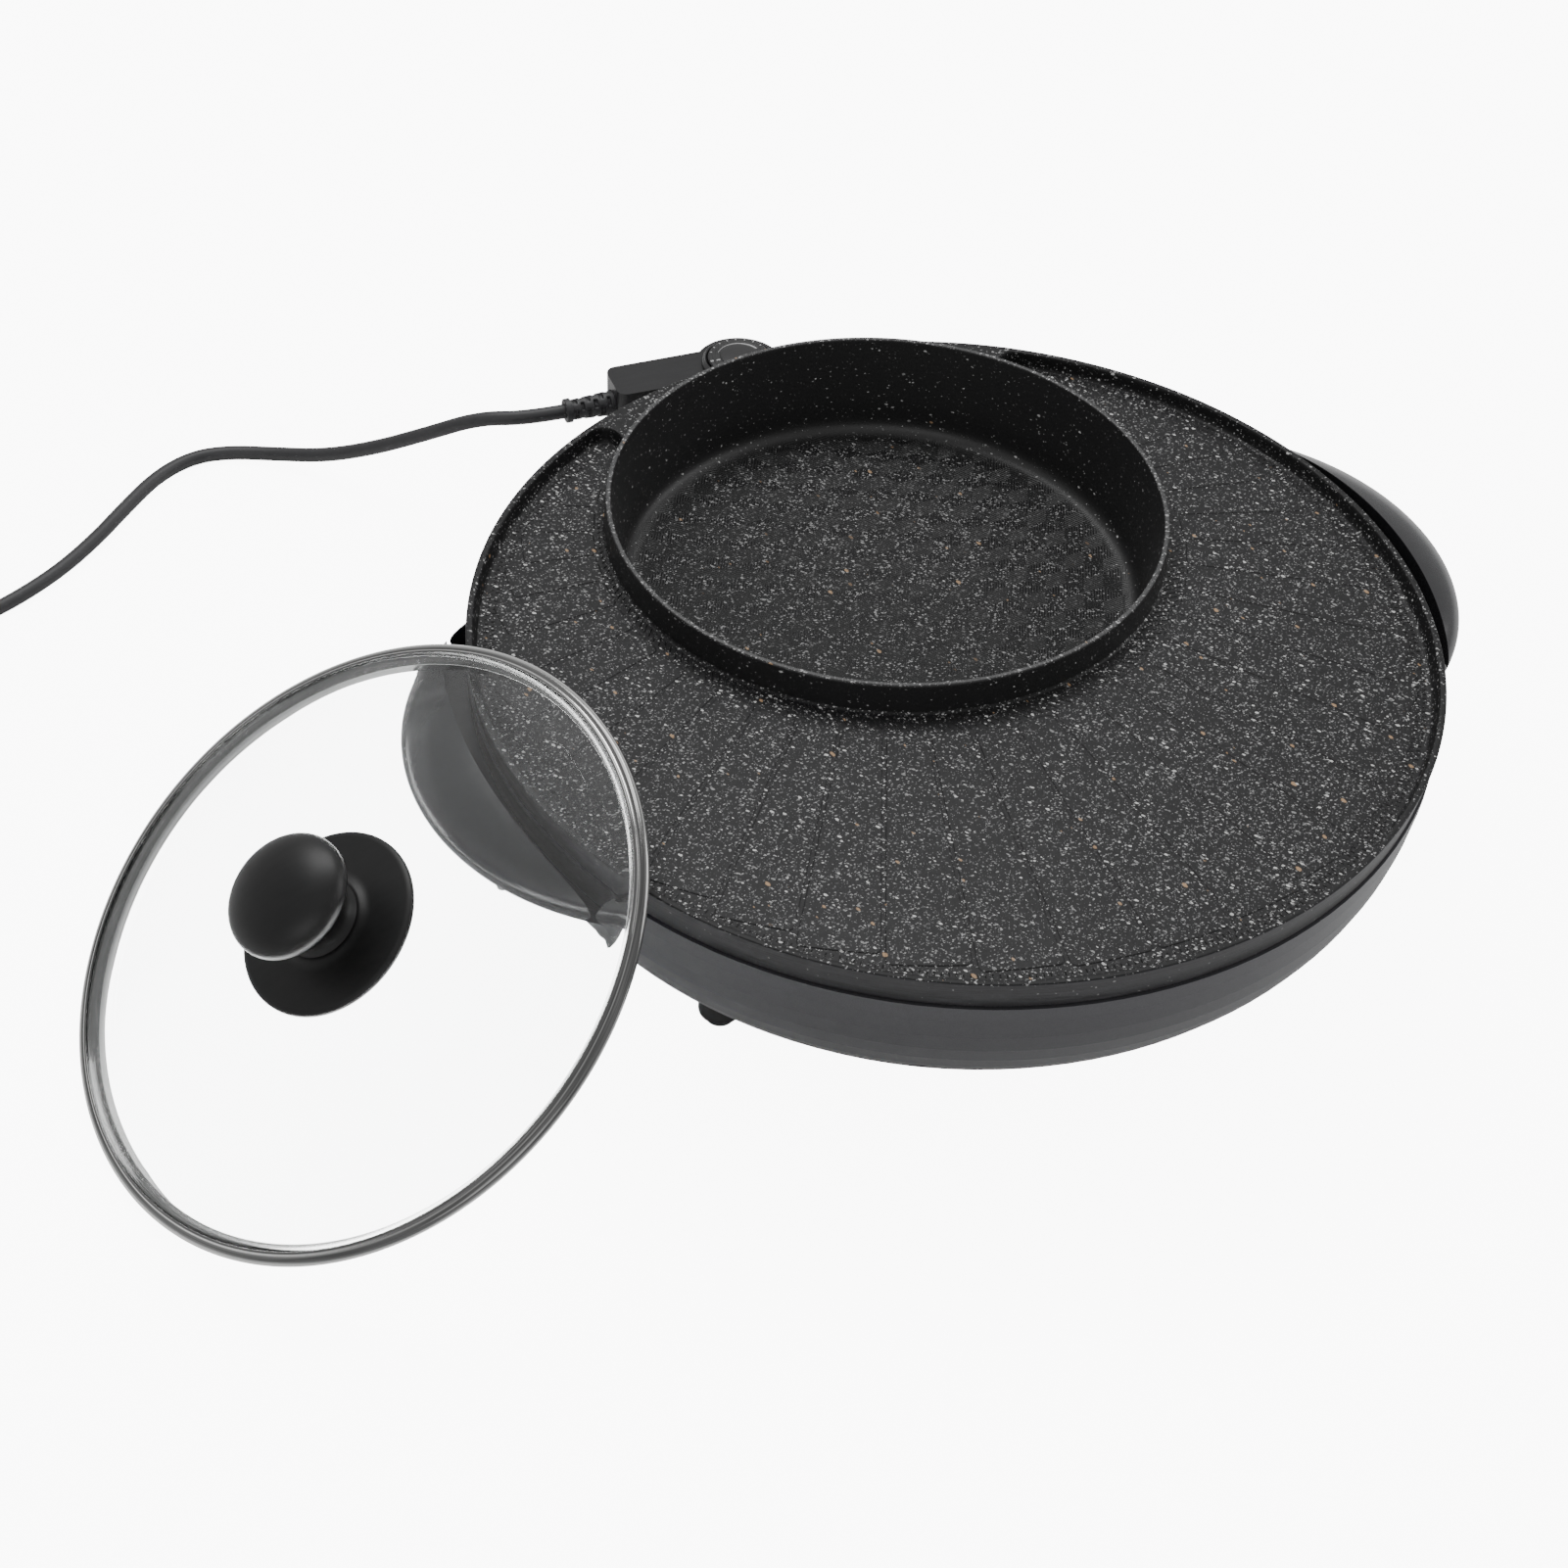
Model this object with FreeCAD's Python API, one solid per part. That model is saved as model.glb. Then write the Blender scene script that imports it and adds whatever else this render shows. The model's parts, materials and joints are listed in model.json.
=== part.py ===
import FreeCAD, Part
import math
import os

V = FreeCAD.Vector
os.makedirs("parts", exist_ok=True)

# Electric griddle: a round cast plate with a deep pot near its back edge, on a bowl-shaped base
# with two side handles and four feet, a plug-in thermostat with its lead, and a glass pot lid
# that leans on the left handle. Millimetres. The origin is on the table under the plate's
# centre, +X to the right handle, +Y to the thermostat, +Z up.

# ---- driving dimensions -------------------------------------------------------------------
# plate
plate_r = 200.0            # outer radius of the rim's top
rim_z = 114.0              # height of the rim's top above the table
rim_w = 2.7                # width of the rim's top
band_h = 13.4              # height of the plate's outer band
band_draft = 2.4           # how much the band narrows to its lower edge
skirt_t = 4.0              # thickness of the band below the tray's floor
tray_depth = 6.9           # depth of the tray below the rim
tray_draft = 1.5           # how much the tray narrows to its floor
plate_t = 4.0              # thickness under the tray
land_half = 97.0           # half width of the land behind the pot, at the rim
land_slant = 7.0           # how much narrower that land is at the pot
# pot
pot_r = 120.8              # outer radius of the pot's rim
pot_edge = 4.5             # plate left between the pot's rim and the plate's edge
pot_rise = 7.5             # height of the pot's rim above the plate's rim
pot_wall = 2.3             # thickness of the pot's rim
pot_flare = 0.7            # how much the outside widens down to the tray
pot_depth = 49.0           # inside depth
pot_draft = 4.0            # how much the inside narrows to its floor
pot_fillet = 14.0          # inside radius between wall and floor
pot_floor_t = 3.2          # thickness of the floor and the lower wall
# base shell
shell_gap = 0.4            # slit between the plate's band and the shell
shell_t = 2.4
shell_r = 199.0            # outside radius below the collar
collar_step = 0.6          # how far the collar stands out
collar_h = 6.0
shell_curve_top = 92.0     # height where the bowl's curve starts
shell_base_z = 22.0        # height of the flat underside
shell_flat_r = 133.0       # radius of the flat underside
shell_hole_r = 92.0        # opening closed by the bottom cover
cover_t = 1.5
cover_lap = 12.0           # how far the cover laps the opening
vent_count = 12
# feet
foot_r = 9.0
foot_round = 2.0           # rounding of the foot's lower edge
foot_x = 128.0
foot_y = 79.0
foot_top = 60.0            # height where the feet end against the shell
pad_h = 3.0
pad_r = 6.2
pad_sunk = 1.2             # depth of the pad's seat in the foot
# posts that carry the plate
post_r = 6.0
post_inset = 16.0          # posts' distance from the plate's edge
post_angles = (-15.0, -64.0, -116.0, -165.0, 53.0, 127.0)
boss_h = 6.0               # plate boss under the tray, over each post
reflector_z = 40.0
reflector_t = 0.8
# handles: an ellipsoid shell cut by the griddle's own circle
handle_r = 105.0           # plan radius of the ellipsoid
handle_out = 32.3          # how far the handle reaches beyond the plate
handle_drop = 20.0         # depth of the parting line below the rim
handle_up = 25.0           # ellipsoid height above the parting line
handle_down = 30.0         # and below it
handle_t = 2.6
handle_turn = 3.5          # handles' direction round the griddle, from the X axis
slot_w = 8.2               # width of the finger slot
slot_half = 84.0           # half its length
slot_depth = 27.0          # depth of its floor below the rim
# heating elements
tube_r = 3.3
pot_ring_r = 62.0
grill_arc_r = 172.0
grill_return_r = 150.0
# socket at the back
probe_z = 58.0             # height of the probe and pins
pin_x = 12.0               # half the pin spacing
pin_r = 2.4
probe_r = 3.2
run_clear = 0.06           # radial running clearance
guard_w = 46.0
guard_h = 32.0
guard_t = 2.5
guard_end = 34.0           # how far the guard reaches beyond the plate
# plug-in thermostat
head_gap = 2.0             # between the guard and the thermostat's head
head_r = 21.5
head_depth = 21.0          # from the head's front face to the dial's centre
arm_l = 64.5
arm_w = 24.0
arm_back = 3.0             # arm's centre beyond the dial's centre
case_h = 24.0
case_t = 2.2
nose_w = 35.0
nose_h = 21.0
nose_l = 26.0
probe_l = 90.0             # probe ahead of the head
dial_r = 15.8
bezel_r = 18.6
bezel_h = 3.2
dial_h = 3.6
dial_boss_r = 9.5         # shallow raised middle of the dial
dial_boss_h = 0.8
spindle_r = 3.0
# lead
cord_d = 7.0
relief_l = 24.0
coil_turn_r = 38.5
plug_relief_l = 18.0
plug_l = 26.0
plug_w = 25.0
plug_h = 17.6
blade_pitch = 12.7
blade_t = 1.5
blade_w = 6.3
blade_l = 17.0
# lid
lid_r = 126.0              # outer radius of the steel ring's bead
bead_r = 2.2
lid_flange_h = 8.0         # skirt that sits inside the pot
lid_flange_gap = 0.5       # skirt's clearance inside the pot
lid_lip_w = 6.6            # width of the ring over the glass's edge, bead included
glass_t = 4.0
lid_rise = 12.0            # height of the glass dome
knob_base_r = 37.2
knob_neck_r = 14.0
knob_r = 24.9
knob_top = 54.0
lid_tilt = 32.3            # lean of the lid away from flat
lid_azimuth = -168.3       # direction that the lid's face looks, seen from above
lid_clear = 0.6            # gap between the leaning lid and what it leans on

# ---- derived places -----------------------------------------------------------------------
band_z = rim_z - band_h
tray_z = rim_z - tray_depth
under_z = tray_z - plate_t
pot_y = plate_r - pot_edge - pot_r
pot_top = rim_z + pot_rise
pot_in_r = pot_r - pot_wall
pot_floor_z = pot_top - pot_depth
pot_under = pot_floor_z - pot_floor_t
pot_low_r = pot_in_r - pot_draft
shell_top = band_z - shell_gap
handle_x = plate_r + handle_out - handle_r
handle_z = rim_z - handle_drop
slot_floor = rim_z - slot_depth
slot_in_r = plate_r + 0.8
slot_out_r = slot_in_r + slot_w
guard_y = plate_r + guard_end
head_y = guard_y + head_gap
dial_y = head_y + head_depth
arm_y = dial_y + arm_back
case_top = probe_z + case_h / 2
case_low = probe_z - case_h / 2
relief_x = -arm_l - relief_l
post_places = [((plate_r - post_inset) * math.cos(math.radians(a)),
                (plate_r - post_inset) * math.sin(math.radians(a))) for a in post_angles]
X, Y, Z = V(1, 0, 0), V(0, 1, 0), V(0, 0, 1)
O = V(0, 0, 0)


# ---- helpers ------------------------------------------------------------------------------
def save(name, shape):
    """Write one piece to its own STEP file and report its volume."""
    shape = shape.removeSplitter()
    for solid in shape.Solids:
        if not solid.isValid():
            print("INVALID", name)
    if not shape.Solids:
        raise ValueError("no solid in " + name)
    shape.exportStep("parts/" + name + ".step")
    print("%-18s solids %d volume %.0f" % (name, len(shape.Solids), shape.Volume))


def cyl(r, z0, z1, x=0.0, y=0.0):
    return Part.makeCylinder(r, z1 - z0, V(x, y, z0))


def rod_y(r, y0, y1, x=0.0, z=probe_z):
    return Part.makeCylinder(r, y1 - y0, V(x, y0, z), Y)


def box(x0, x1, y0, y1, z0, z1):
    return Part.makeBox(x1 - x0, y1 - y0, z1 - z0, V(x0, y0, z0))


def round_box(x0, x1, y0, y1, z0, z1, r):
    """A box whose four upright edges have radius r."""
    body = box(x0, x1, y0, y1, z0, z1)
    edges = [e for e in body.Edges if abs(e.tangentAt(e.FirstParameter).z) > 0.9]
    return body.makeFillet(r, edges)


def turned(points, x=0.0, y=0.0):
    """Solid of revolution about the upright axis at (x, y) from a closed (radius, z) outline."""
    corners = [V(r, 0, z) for r, z in points]
    face = Part.Face(Part.makePolygon(corners + corners[:1]))
    solid = face.revolve(O, Z, 360)
    solid.translate(V(x, y, 0))
    return solid


def arc_points(cr, cz, a, b, start, end, n=8):
    """Points of an ellipse arc, centre (cr, cz), semi-axes a and b, angles in degrees."""
    out = []
    for i in range(n + 1):
        t = math.radians(start + (end - start) * i / n)
        out.append((cr + a * math.cos(t), cz + b * math.sin(t)))
    return out


def cut(body, *tools):
    for tool in tools:
        body = body.cut(tool)
    return body


def join(first, *others):
    for other in others:
        first = first.fuse(other)
    return first


def group(shapes):
    return Part.makeCompound(shapes)


def routed(points, radius, name):
    """Tube along straight runs joined by tangent arcs as large as both runs allow."""
    pts = [V(*p) for p in points]
    edges = []
    last = pts[0]
    length = 0.0
    radii = []
    for a, b, c in zip(pts, pts[1:], pts[2:]):
        u = (b - a).normalize()
        w = (c - b).normalize()
        half = math.acos(max(-1.0, min(1.0, u.dot(w)))) / 2
        reach = 0.45 * min((b - a).Length, (c - b).Length)
        radii.append(reach / math.tan(half))
        start = b - u * reach
        end = b + w * reach
        inward = (w - u).normalize()
        middle = b + inward * (radii[-1] / math.cos(half) - radii[-1])
        edges.append(Part.LineSegment(last, start).toShape())
        edges.append(Part.Arc(start, middle, end).toShape())
        length += (start - last).Length + radii[-1] * 2 * half
        last = end
    edges.append(Part.LineSegment(last, pts[-1]).toShape())
    length += (pts[-1] - last).Length
    path = Part.Wire(edges)
    ring = Part.Wire([Part.Circle(pts[0], pts[1] - pts[0], radius).toShape()])
    tube = path.makePipeShell([ring], True, False)
    want = math.pi * radius ** 2 * length
    print("%-18s length %.0f smallest radius %.1f volume/expected %.4f"
          % (name, length, min(radii), tube.Volume / want))
    return tube


# ---- plate with its pot -------------------------------------------------------------------
def plate_bodies():
    """The casting: tray plate, band and pot in one piece."""
    slab = turned([(0, under_z), (plate_r - band_draft - skirt_t, under_z),
                   (plate_r - band_draft - skirt_t, band_z), (plate_r - band_draft, band_z),
                   (plate_r, rim_z), (0, rim_z)])
    tray = turned([(0, tray_z), (plate_r - rim_w - tray_draft, tray_z),
                   (plate_r - rim_w, rim_z), (plate_r - rim_w, rim_z + 20), (0, rim_z + 20)])
    back = math.sqrt(plate_r ** 2 - land_half ** 2)
    narrow = land_half - land_slant
    pot_side = pot_y + math.sqrt(pot_r ** 2 - narrow ** 2)
    outline = [V(-narrow, pot_side - 8, 0), V(-land_half, back, 0), V(-land_half, back + 80, 0),
               V(land_half, back + 80, 0), V(land_half, back, 0), V(narrow, pot_side - 8, 0)]
    land = Part.Face(Part.makePolygon(outline + outline[:1])).extrude(V(0, 0, 200))
    upstand = turned([(0, under_z), (pot_r + pot_flare, under_z), (pot_r + pot_flare, tray_z),
                      (pot_r, pot_top - 0.8), (pot_r - 0.8, pot_top), (0, pot_top)], 0, pot_y)
    tray = cut(tray, land, upstand)
    slab = slab.cut(tray)
    wall = arc_points(pot_low_r - pot_fillet, pot_floor_z + pot_fillet,
                      pot_fillet + pot_floor_t, pot_fillet + pot_floor_t, -90, -8)
    well = turned([(0, pot_under)] + wall + [(pot_low_r + pot_floor_t + 2.0, under_z),
                  (pot_low_r + pot_floor_t + 2.0, under_z + 1), (0, under_z + 1)], 0, pot_y)
    inner = arc_points(pot_low_r - pot_fillet, pot_floor_z + pot_fillet,
                       pot_fillet, pot_fillet, -90, -8)
    hollow = turned([(0, pot_floor_z)] + inner + [(pot_in_r, pot_top - 0.8),
                    (pot_in_r + 0.8, pot_top), (pot_in_r + 0.8, pot_top + 5), (0, pot_top + 5)],
                    0, pot_y)
    relief = cut(turned([(0, under_z - 9), (plate_r - band_draft - skirt_t, under_z - 9),
                         (plate_r - band_draft - skirt_t, rim_z - plate_t),
                         (0, rim_z - plate_t)]), turned([(0, 0), (pot_r + pot_flare, 0),
                 (pot_r + pot_flare, 200), (0, 200)], 0, pot_y))
    relief = relief.common(box(-land_half + 12, land_half - 12, pot_y, plate_r, 0, 200))
    bosses = [cyl(post_r + 1.5, under_z - boss_h, under_z, x, y) for x, y in post_places]
    body = join(slab.cut(relief), upstand, well, *bosses)
    block = box(-8, 8, probe_block_y0, probe_block_y1, probe_z - 6.5, pot_under + 1)
    body = join(body, block).cut(hollow)
    bore = rod_y(probe_r + run_clear, probe_block_y0 + 4, probe_block_y1 + 1)
    return body.cut(bore)


probe_tip_y = head_y - probe_l
probe_block_y0 = probe_tip_y - 6.0
probe_block_y1 = probe_block_y0 + 28.0


# ---- base shell ---------------------------------------------------------------------------
def bowl(offset):
    """Filled bowl whose surface lies the offset inside the shell's outside."""
    curve = arc_points(shell_flat_r, shell_curve_top, shell_r - shell_flat_r - offset,
                       shell_curve_top - shell_base_z - offset, 0, -90, 12)
    return turned([(0, shell_top), (shell_r - offset, shell_top)] + curve
                  + [(0, shell_base_z + offset)])


def bowl_z(r, offset=0.0):
    """Height of the bowl's surface at radius r."""
    a = shell_r - shell_flat_r - offset
    b = shell_curve_top - shell_base_z - offset
    s = max(0.0, min(1.0, (r - shell_flat_r) / a))
    return shell_curve_top - b * math.sqrt(1 - s * s)


def bowl_r(z, offset=0.0):
    """Radius of the bowl's surface at height z."""
    a = shell_r - shell_flat_r - offset
    b = shell_curve_top - shell_base_z - offset
    s = max(0.0, min(1.0, (shell_curve_top - z) / b))
    return shell_flat_r + a * math.sqrt(1 - s * s)


def foot_places():
    return [(sx * foot_x, sy * foot_y) for sx in (-1, 1) for sy in (-1, 1)]


def screw(x, y, z_head, length, r, head_r, head_h):
    """An upright screw, head down: the head's underside is at z_head."""
    head = cyl(head_r, z_head, z_head + head_h, x, y)
    slot = box(x - head_r, x + head_r, y - 0.5, y + 0.5, z_head, z_head + 0.8)
    return join(head, cyl(r, z_head + head_h, z_head + length, x, y)).cut(slot)


outer_bowl = bowl(0.0)
inner_bowl = bowl(shell_t)
plate_screws = [screw(x, y, bowl_z(math.hypot(x, y)) + 6, under_z - 2 - bowl_z(math.hypot(x, y)) - 6,
                      2.0, 3.9, 3.0) for x, y in post_places]
foot_screws = [screw(x, y, 8.0, 38.0, 2.0, 3.9, 3.0) for x, y in foot_places()]
cover_r = shell_hole_r + cover_lap
cover_screws = [screw(cx, cy, shell_base_z - cover_t - 1.6, 8.0, 1.5, 2.9, 1.6)
                for cx, cy in ((math.cos(math.radians(a)) * (cover_r - 6),
                                math.sin(math.radians(a)) * (cover_r - 6))
                               for a in (45, 135, 225, 315))]
cover_bosses = [cyl(4.0, shell_base_z + shell_t, shell_base_z + shell_t + 6, s.BoundBox.Center.x,
                    s.BoundBox.Center.y) for s in cover_screws]


def radial_screw(angle, z, r0, r1):
    """A screw along a radius, head at the inner end."""
    axis = V(math.cos(math.radians(angle)), math.sin(math.radians(angle)), 0)
    head = Part.makeCylinder(3.6, 2.4, axis * r0 + V(0, 0, z), axis)
    return head.fuse(Part.makeCylinder(1.9, r1 - r0 - 2.4, axis * (r0 + 2.4) + V(0, 0, z), axis))


handle_screw_z = slot_floor - 4.5
handle_screw_a = math.degrees(math.asin(0.45 * slot_half / plate_r))
handle_screws = [radial_screw(a + handle_turn, handle_screw_z, bowl_r(handle_screw_z, shell_t) - 3.2,
                              plate_r + 5)
                 for a in (handle_screw_a, -handle_screw_a, 180 - handle_screw_a, 180 + handle_screw_a)]


def swung(shapes):
    """Turn pieces about the griddle's upright axis to the handles' direction."""
    for shape in shapes:
        shape.rotate(O, Z, handle_turn)
    return shapes


def handle_solid(side, z_dir, inset):
    """Half of the handle's ellipsoid, above or below the parting line."""
    height = (handle_up if z_dir > 0 else handle_down) - inset
    face = Part.Arc(Part.Ellipse(O, handle_r - inset, height), 0, math.pi / 2).toShape()
    face.rotate(O, X, 90 * z_dir)
    top = V(0, 0, height * z_dir)
    lines = [Part.LineSegment(top, O).toShape(), Part.LineSegment(O, V(handle_r - inset, 0, 0)).toShape()]
    solid = Part.Face(Part.Wire([face] + lines)).revolve(O, Z, 360)
    solid.translate(V(side * handle_x, 0, handle_z))
    return solid


def handle_pair(side):
    """The upper shell of a side handle and the cover below it."""
    griddle = outer_bowl.fuse(cyl(slot_in_r, shell_top - 1.0, rim_z + 20))
    griddle = griddle.fuse(turned([(0, shell_top - collar_h - 0.4), (shell_r + collar_step,
                           shell_top - collar_h - 0.4), (shell_r + collar_step, shell_top), (0, shell_top)]))
    slot = cyl(slot_out_r, slot_floor, rim_z + 20)
    slot = slot.common(box(side * 230 - 230, side * 230 + 230, -slot_half, slot_half, 0, 200))
    wall = cyl(slot_out_r + handle_t, 0, 200)
    halves = []
    for z_dir in (1, -1):
        body = cut(handle_solid(side, z_dir, 0.0), griddle, slot)
        hollow = cut(handle_solid(side, z_dir, handle_t), wall, *handle_bosses(side))
        body = body.cut(hollow)
        half_space = box(side * 300 - 300, side * 300 + 300, -400, 400, 0, 300)
        halves.append(body.common(half_space))
    return halves


def joining_places(side):
    """Centres of the two bosses inside each handle, just beyond the slot's wall."""
    r = slot_out_r + handle_t + 4.5
    y = 0.5 * slot_half
    return [(side * math.sqrt(r * r - y * y), s * y) for s in (-1, 1)]


def handle_bosses(side):
    return [cyl(4.2, 0, 200, x, y) for x, y in joining_places(side)]


def joining_screws(side):
    """Upright screws that hold each handle's two halves together."""
    return [screw(x, y, handle_z - 16.0, 24.0, 1.4, 2.6, 2.0) for x, y in joining_places(side)]


def joining_wells(side):
    return [cyl(2.8, 0, handle_z - 15.0, x, y) for x, y in joining_places(side)]


# ---- socket -------------------------------------------------------------------------------
guard_back = bowl_r(probe_z) - 14.0
guard_wall_y = plate_r + 4.0
ear_w = 11.0
ear_h = 16.0
guard_screws = []
for s in (-1, 1):
    ear_x = s * (guard_w / 2 + ear_w / 2)
    head = rod_y(3.2, plate_r - 4.0, plate_r - 1.6, ear_x)
    guard_screws.append(head.fuse(rod_y(1.6, plate_r - 26.0, plate_r - 4.0, ear_x)))
pins = [rod_y(pin_r, plate_r - 14.0, guard_y - 8.0, s * pin_x) for s in (-1, 1)]
pin_tips = [Part.makeCone(pin_r, pin_r - 1.0, 2.0, V(s * pin_x, guard_y - 8.0, probe_z), Y)
            for s in (-1, 1)]
pins = [a.fuse(b) for a, b in zip(pins, pin_tips)]
probe_hole = rod_y(probe_r + 1.0, 0, 400)


def guard():
    """Open box that shields the pins, with two ears screwed to the shell."""
    hw, hh = guard_w / 2, guard_h / 2
    outer = round_box(-hw, hw, guard_back, guard_y, probe_z - hh, probe_z + hh, 3.0)
    ears = box(-hw - ear_w, hw + ear_w, guard_back, plate_r - 4.0,
               probe_z - ear_h / 2, probe_z + ear_h / 2)
    body = join(outer, ears)
    mouth = box(-hw + guard_t, hw - guard_t, guard_wall_y + 3.0, guard_y + 1,
                probe_z - hh + guard_t, probe_z + hh - guard_t)
    behind = box(-hw + guard_t, hw - guard_t, 0, guard_wall_y,
                 probe_z - hh + guard_t, probe_z + hh - guard_t)
    return cut(body, outer_bowl, mouth, behind, probe_hole, *(pins + guard_screws))


def terminal_block():
    block = round_box(-18, 18, plate_r - 9.0, guard_wall_y, probe_z - 9, probe_z + 9, 2.0)
    return cut(block, probe_hole, *pins)


# ---- heating ------------------------------------------------------------------------------
def arc_route(r, a0, a1, steps, z, x=0.0, y=0.0):
    return [(x + r * math.cos(math.radians(a0 + (a1 - a0) * i / steps)),
             y + r * math.sin(math.radians(a0 + (a1 - a0) * i / steps)), z)
            for i in range(steps + 1)]


heater_z = pot_under - tube_r - 0.2
grill_z = under_z - tube_r - 0.2


def pot_heater():
    """Ring under the pot whose two legs step down and back to the pins."""
    start = math.degrees(math.acos(pin_x / pot_ring_r)) - 14
    leg_y = plate_r - 15.0
    legs = [(pin_x, leg_y, probe_z), (pin_x, leg_y - 14, probe_z),
            (pin_x, leg_y - 28, heater_z), (pin_x, pot_y + pot_ring_r + 12, heater_z)]
    ring = arc_route(pot_ring_r, start, -180 - start, 20, heater_z, 0, pot_y)
    mirrored = [(-x, y, z) for x, y, z in reversed(legs)]
    return routed(legs + ring + mirrored, tube_r, "heater_pot")


def grill_heater():
    """Hairpin under the tray round the front of the plate."""
    out = arc_route(grill_arc_r, 12, -192, 24, grill_z)
    back = arc_route(grill_return_r, -190, -14, 20, grill_z)
    return routed(out + back, tube_r, "heater_grill")


# ---- thermostat ---------------------------------------------------------------------------
def case_solid(inset, z0, z1):
    """Head, arm and front of the thermostat's case, drawn in by the inset."""
    head = cyl(head_r - inset, z0, z1, 0, dial_y)
    front = box(-head_r + inset, head_r - inset, head_y + inset, dial_y, z0, z1)
    arm = round_box(-arm_l + inset, 6, arm_y - arm_w / 2 + inset, arm_y + arm_w / 2 - inset,
                    z0, z1, 5.0 - inset / 2)
    return join(head, front, arm)


nose_y = head_y - nose_l
nose_body = box(-nose_w / 2, nose_w / 2, nose_y, head_y + 8.0, probe_z - nose_h / 2,
                probe_z + nose_h / 2)
case_screws = [screw(x, y, case_low + 0.6, 18.0, 1.3, 2.4, 1.8)
               for x, y in ((-arm_l + 9.0, arm_y - 7.5), (-arm_l + 9.0, arm_y + 7.5),
                            (17.4, dial_y - 2.0), (-30.0, arm_y + 7.5))]
screw_posts = [cyl(3.4, case_low, case_top, s.BoundBox.Center.x, s.BoundBox.Center.y)
               for s in case_screws]
spindle_top = case_top + bezel_h - 0.4
spindle = cyl(spindle_r, probe_z + 2.0, case_top + 1.2, 0, dial_y)
sleeve_r = pin_r + 1.0


def case_half(upper):
    z0, z1 = (probe_z, case_top) if upper else (case_low, probe_z)
    body = case_solid(0.0, z0, z1)
    low, high = (z0, z1 - case_t) if upper else (z0 + case_t, z1)
    inner = case_solid(case_t, low, high)
    posts = [p.common(box(-200, 200, 0, 400, low, high)) for p in screw_posts]
    hollow = cut(inner, *posts)
    body = cut(body, hollow, nose_body, *case_screws)
    relief_hole = Part.makeCylinder(relief_base_r, 20, V(-arm_l - 1, arm_y, probe_z), X)
    body = body.cut(relief_hole)
    if upper:
        body = body.cut(cyl(spindle_r + run_clear, z0, z1 + 1, 0, dial_y))
    return body


relief_base_r = 6.4
relief_tip_r = 5.2


def strain_relief():
    """Tapered sleeve with raised ribs, its collar inside the case's end wall."""
    x0 = -arm_l
    body = Part.makeCone(relief_base_r - 1.0, relief_tip_r - 0.8, relief_l, V(x0, arm_y, probe_z), V(-1, 0, 0))
    neck = case_t + 0.4
    body = body.fuse(Part.makeCylinder(relief_base_r, neck, V(x0, arm_y, probe_z), X))
    body = body.fuse(Part.makeCylinder(relief_base_r + 0.8, 2.0, V(x0 + neck, arm_y, probe_z), X))
    ribs = 5
    for i in range(ribs):
        at = x0 - relief_l * (i + 0.30) / ribs
        r = relief_base_r - (relief_base_r - relief_tip_r) * (i + 0.5) / ribs
        body = body.fuse(Part.makeCylinder(r, relief_l / ribs * 0.55, V(at, arm_y, probe_z), V(-1, 0, 0)))
    return body.common(box(relief_x, 0, 0, 400, 0, 200))


def bezel():
    return turned([(dial_r + 0.4, case_top), (bezel_r, case_top), (bezel_r, case_top + bezel_h - 1),
                   (bezel_r - 1, case_top + bezel_h), (dial_r + 1.4, case_top + bezel_h),
                   (dial_r + 0.4, case_top + bezel_h - 1)], 0, dial_y)


def dial_knob():
    """Flat disc with a shallow raised middle, on the spindle."""
    low = case_top + 0.4
    disc = turned([(0, low), (dial_r, low), (dial_r, low + dial_h - 1.0), (dial_r - 1.0, low + dial_h),
                   (0, low + dial_h)], 0, dial_y)
    face = low + dial_h
    boss = turned([(0, face - 0.5), (dial_boss_r, face - 0.5), (dial_boss_r, face + dial_boss_h - 0.3),
                   (dial_boss_r - 0.3, face + dial_boss_h), (0, face + dial_boss_h)], 0, dial_y)
    return join(disc, boss).cut(spindle)


# ---- lead ---------------------------------------------------------------------------------
lead_z = cord_d / 2 + 0.1
coil_x, coil_y = -419.8, 287.0   # coil's centre: the lead runs into its outer turn
coil_outer = coil_turn_r + cord_d + 0.6
coil_inner = coil_turn_r - cord_d - 0.6
coil_h = 2 * cord_d + 0.6


def lead_route():
    """Hand-placed points: out of the sleeve, down to the table, along it to the coil."""
    return [(relief_x, arm_y, probe_z), (-108, arm_y, probe_z), (-129, 269.5, 56), (-152, 284, 41.5),
            (-174, 301, 26), (-196, 320, 12.5), (-217, 339.5, lead_z + 0.8), (-238, 349, lead_z),
            (-257, 350.5, lead_z), (-277, 340, lead_z), (-296, 320, lead_z), (-314, 299.5, lead_z),
            (-335, 280, lead_z), (-360, 264, lead_z), (-383, 254.5, lead_z), (-404, 248, lead_z)]


plug_x = coil_x - coil_turn_r - cord_d / 2
plug_y = coil_y + 27.0
plug_z = plug_h / 2 + 0.2


# ---- lid ----------------------------------------------------------------------------------
dome_r = ((lid_r - 13) ** 2 + lid_rise ** 2) / (2 * lid_rise)
glass_z = 0.2
dome_top = glass_z + glass_t + lid_rise


def dome(offset, r_edge):
    """Filled cap of the glass's outer sphere, moved in by the offset."""
    ball = Part.makeSphere(dome_r - offset, V(0, 0, dome_top - dome_r))
    return ball.common(cyl(r_edge, glass_z + glass_t - offset, dome_top + 5))


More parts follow.
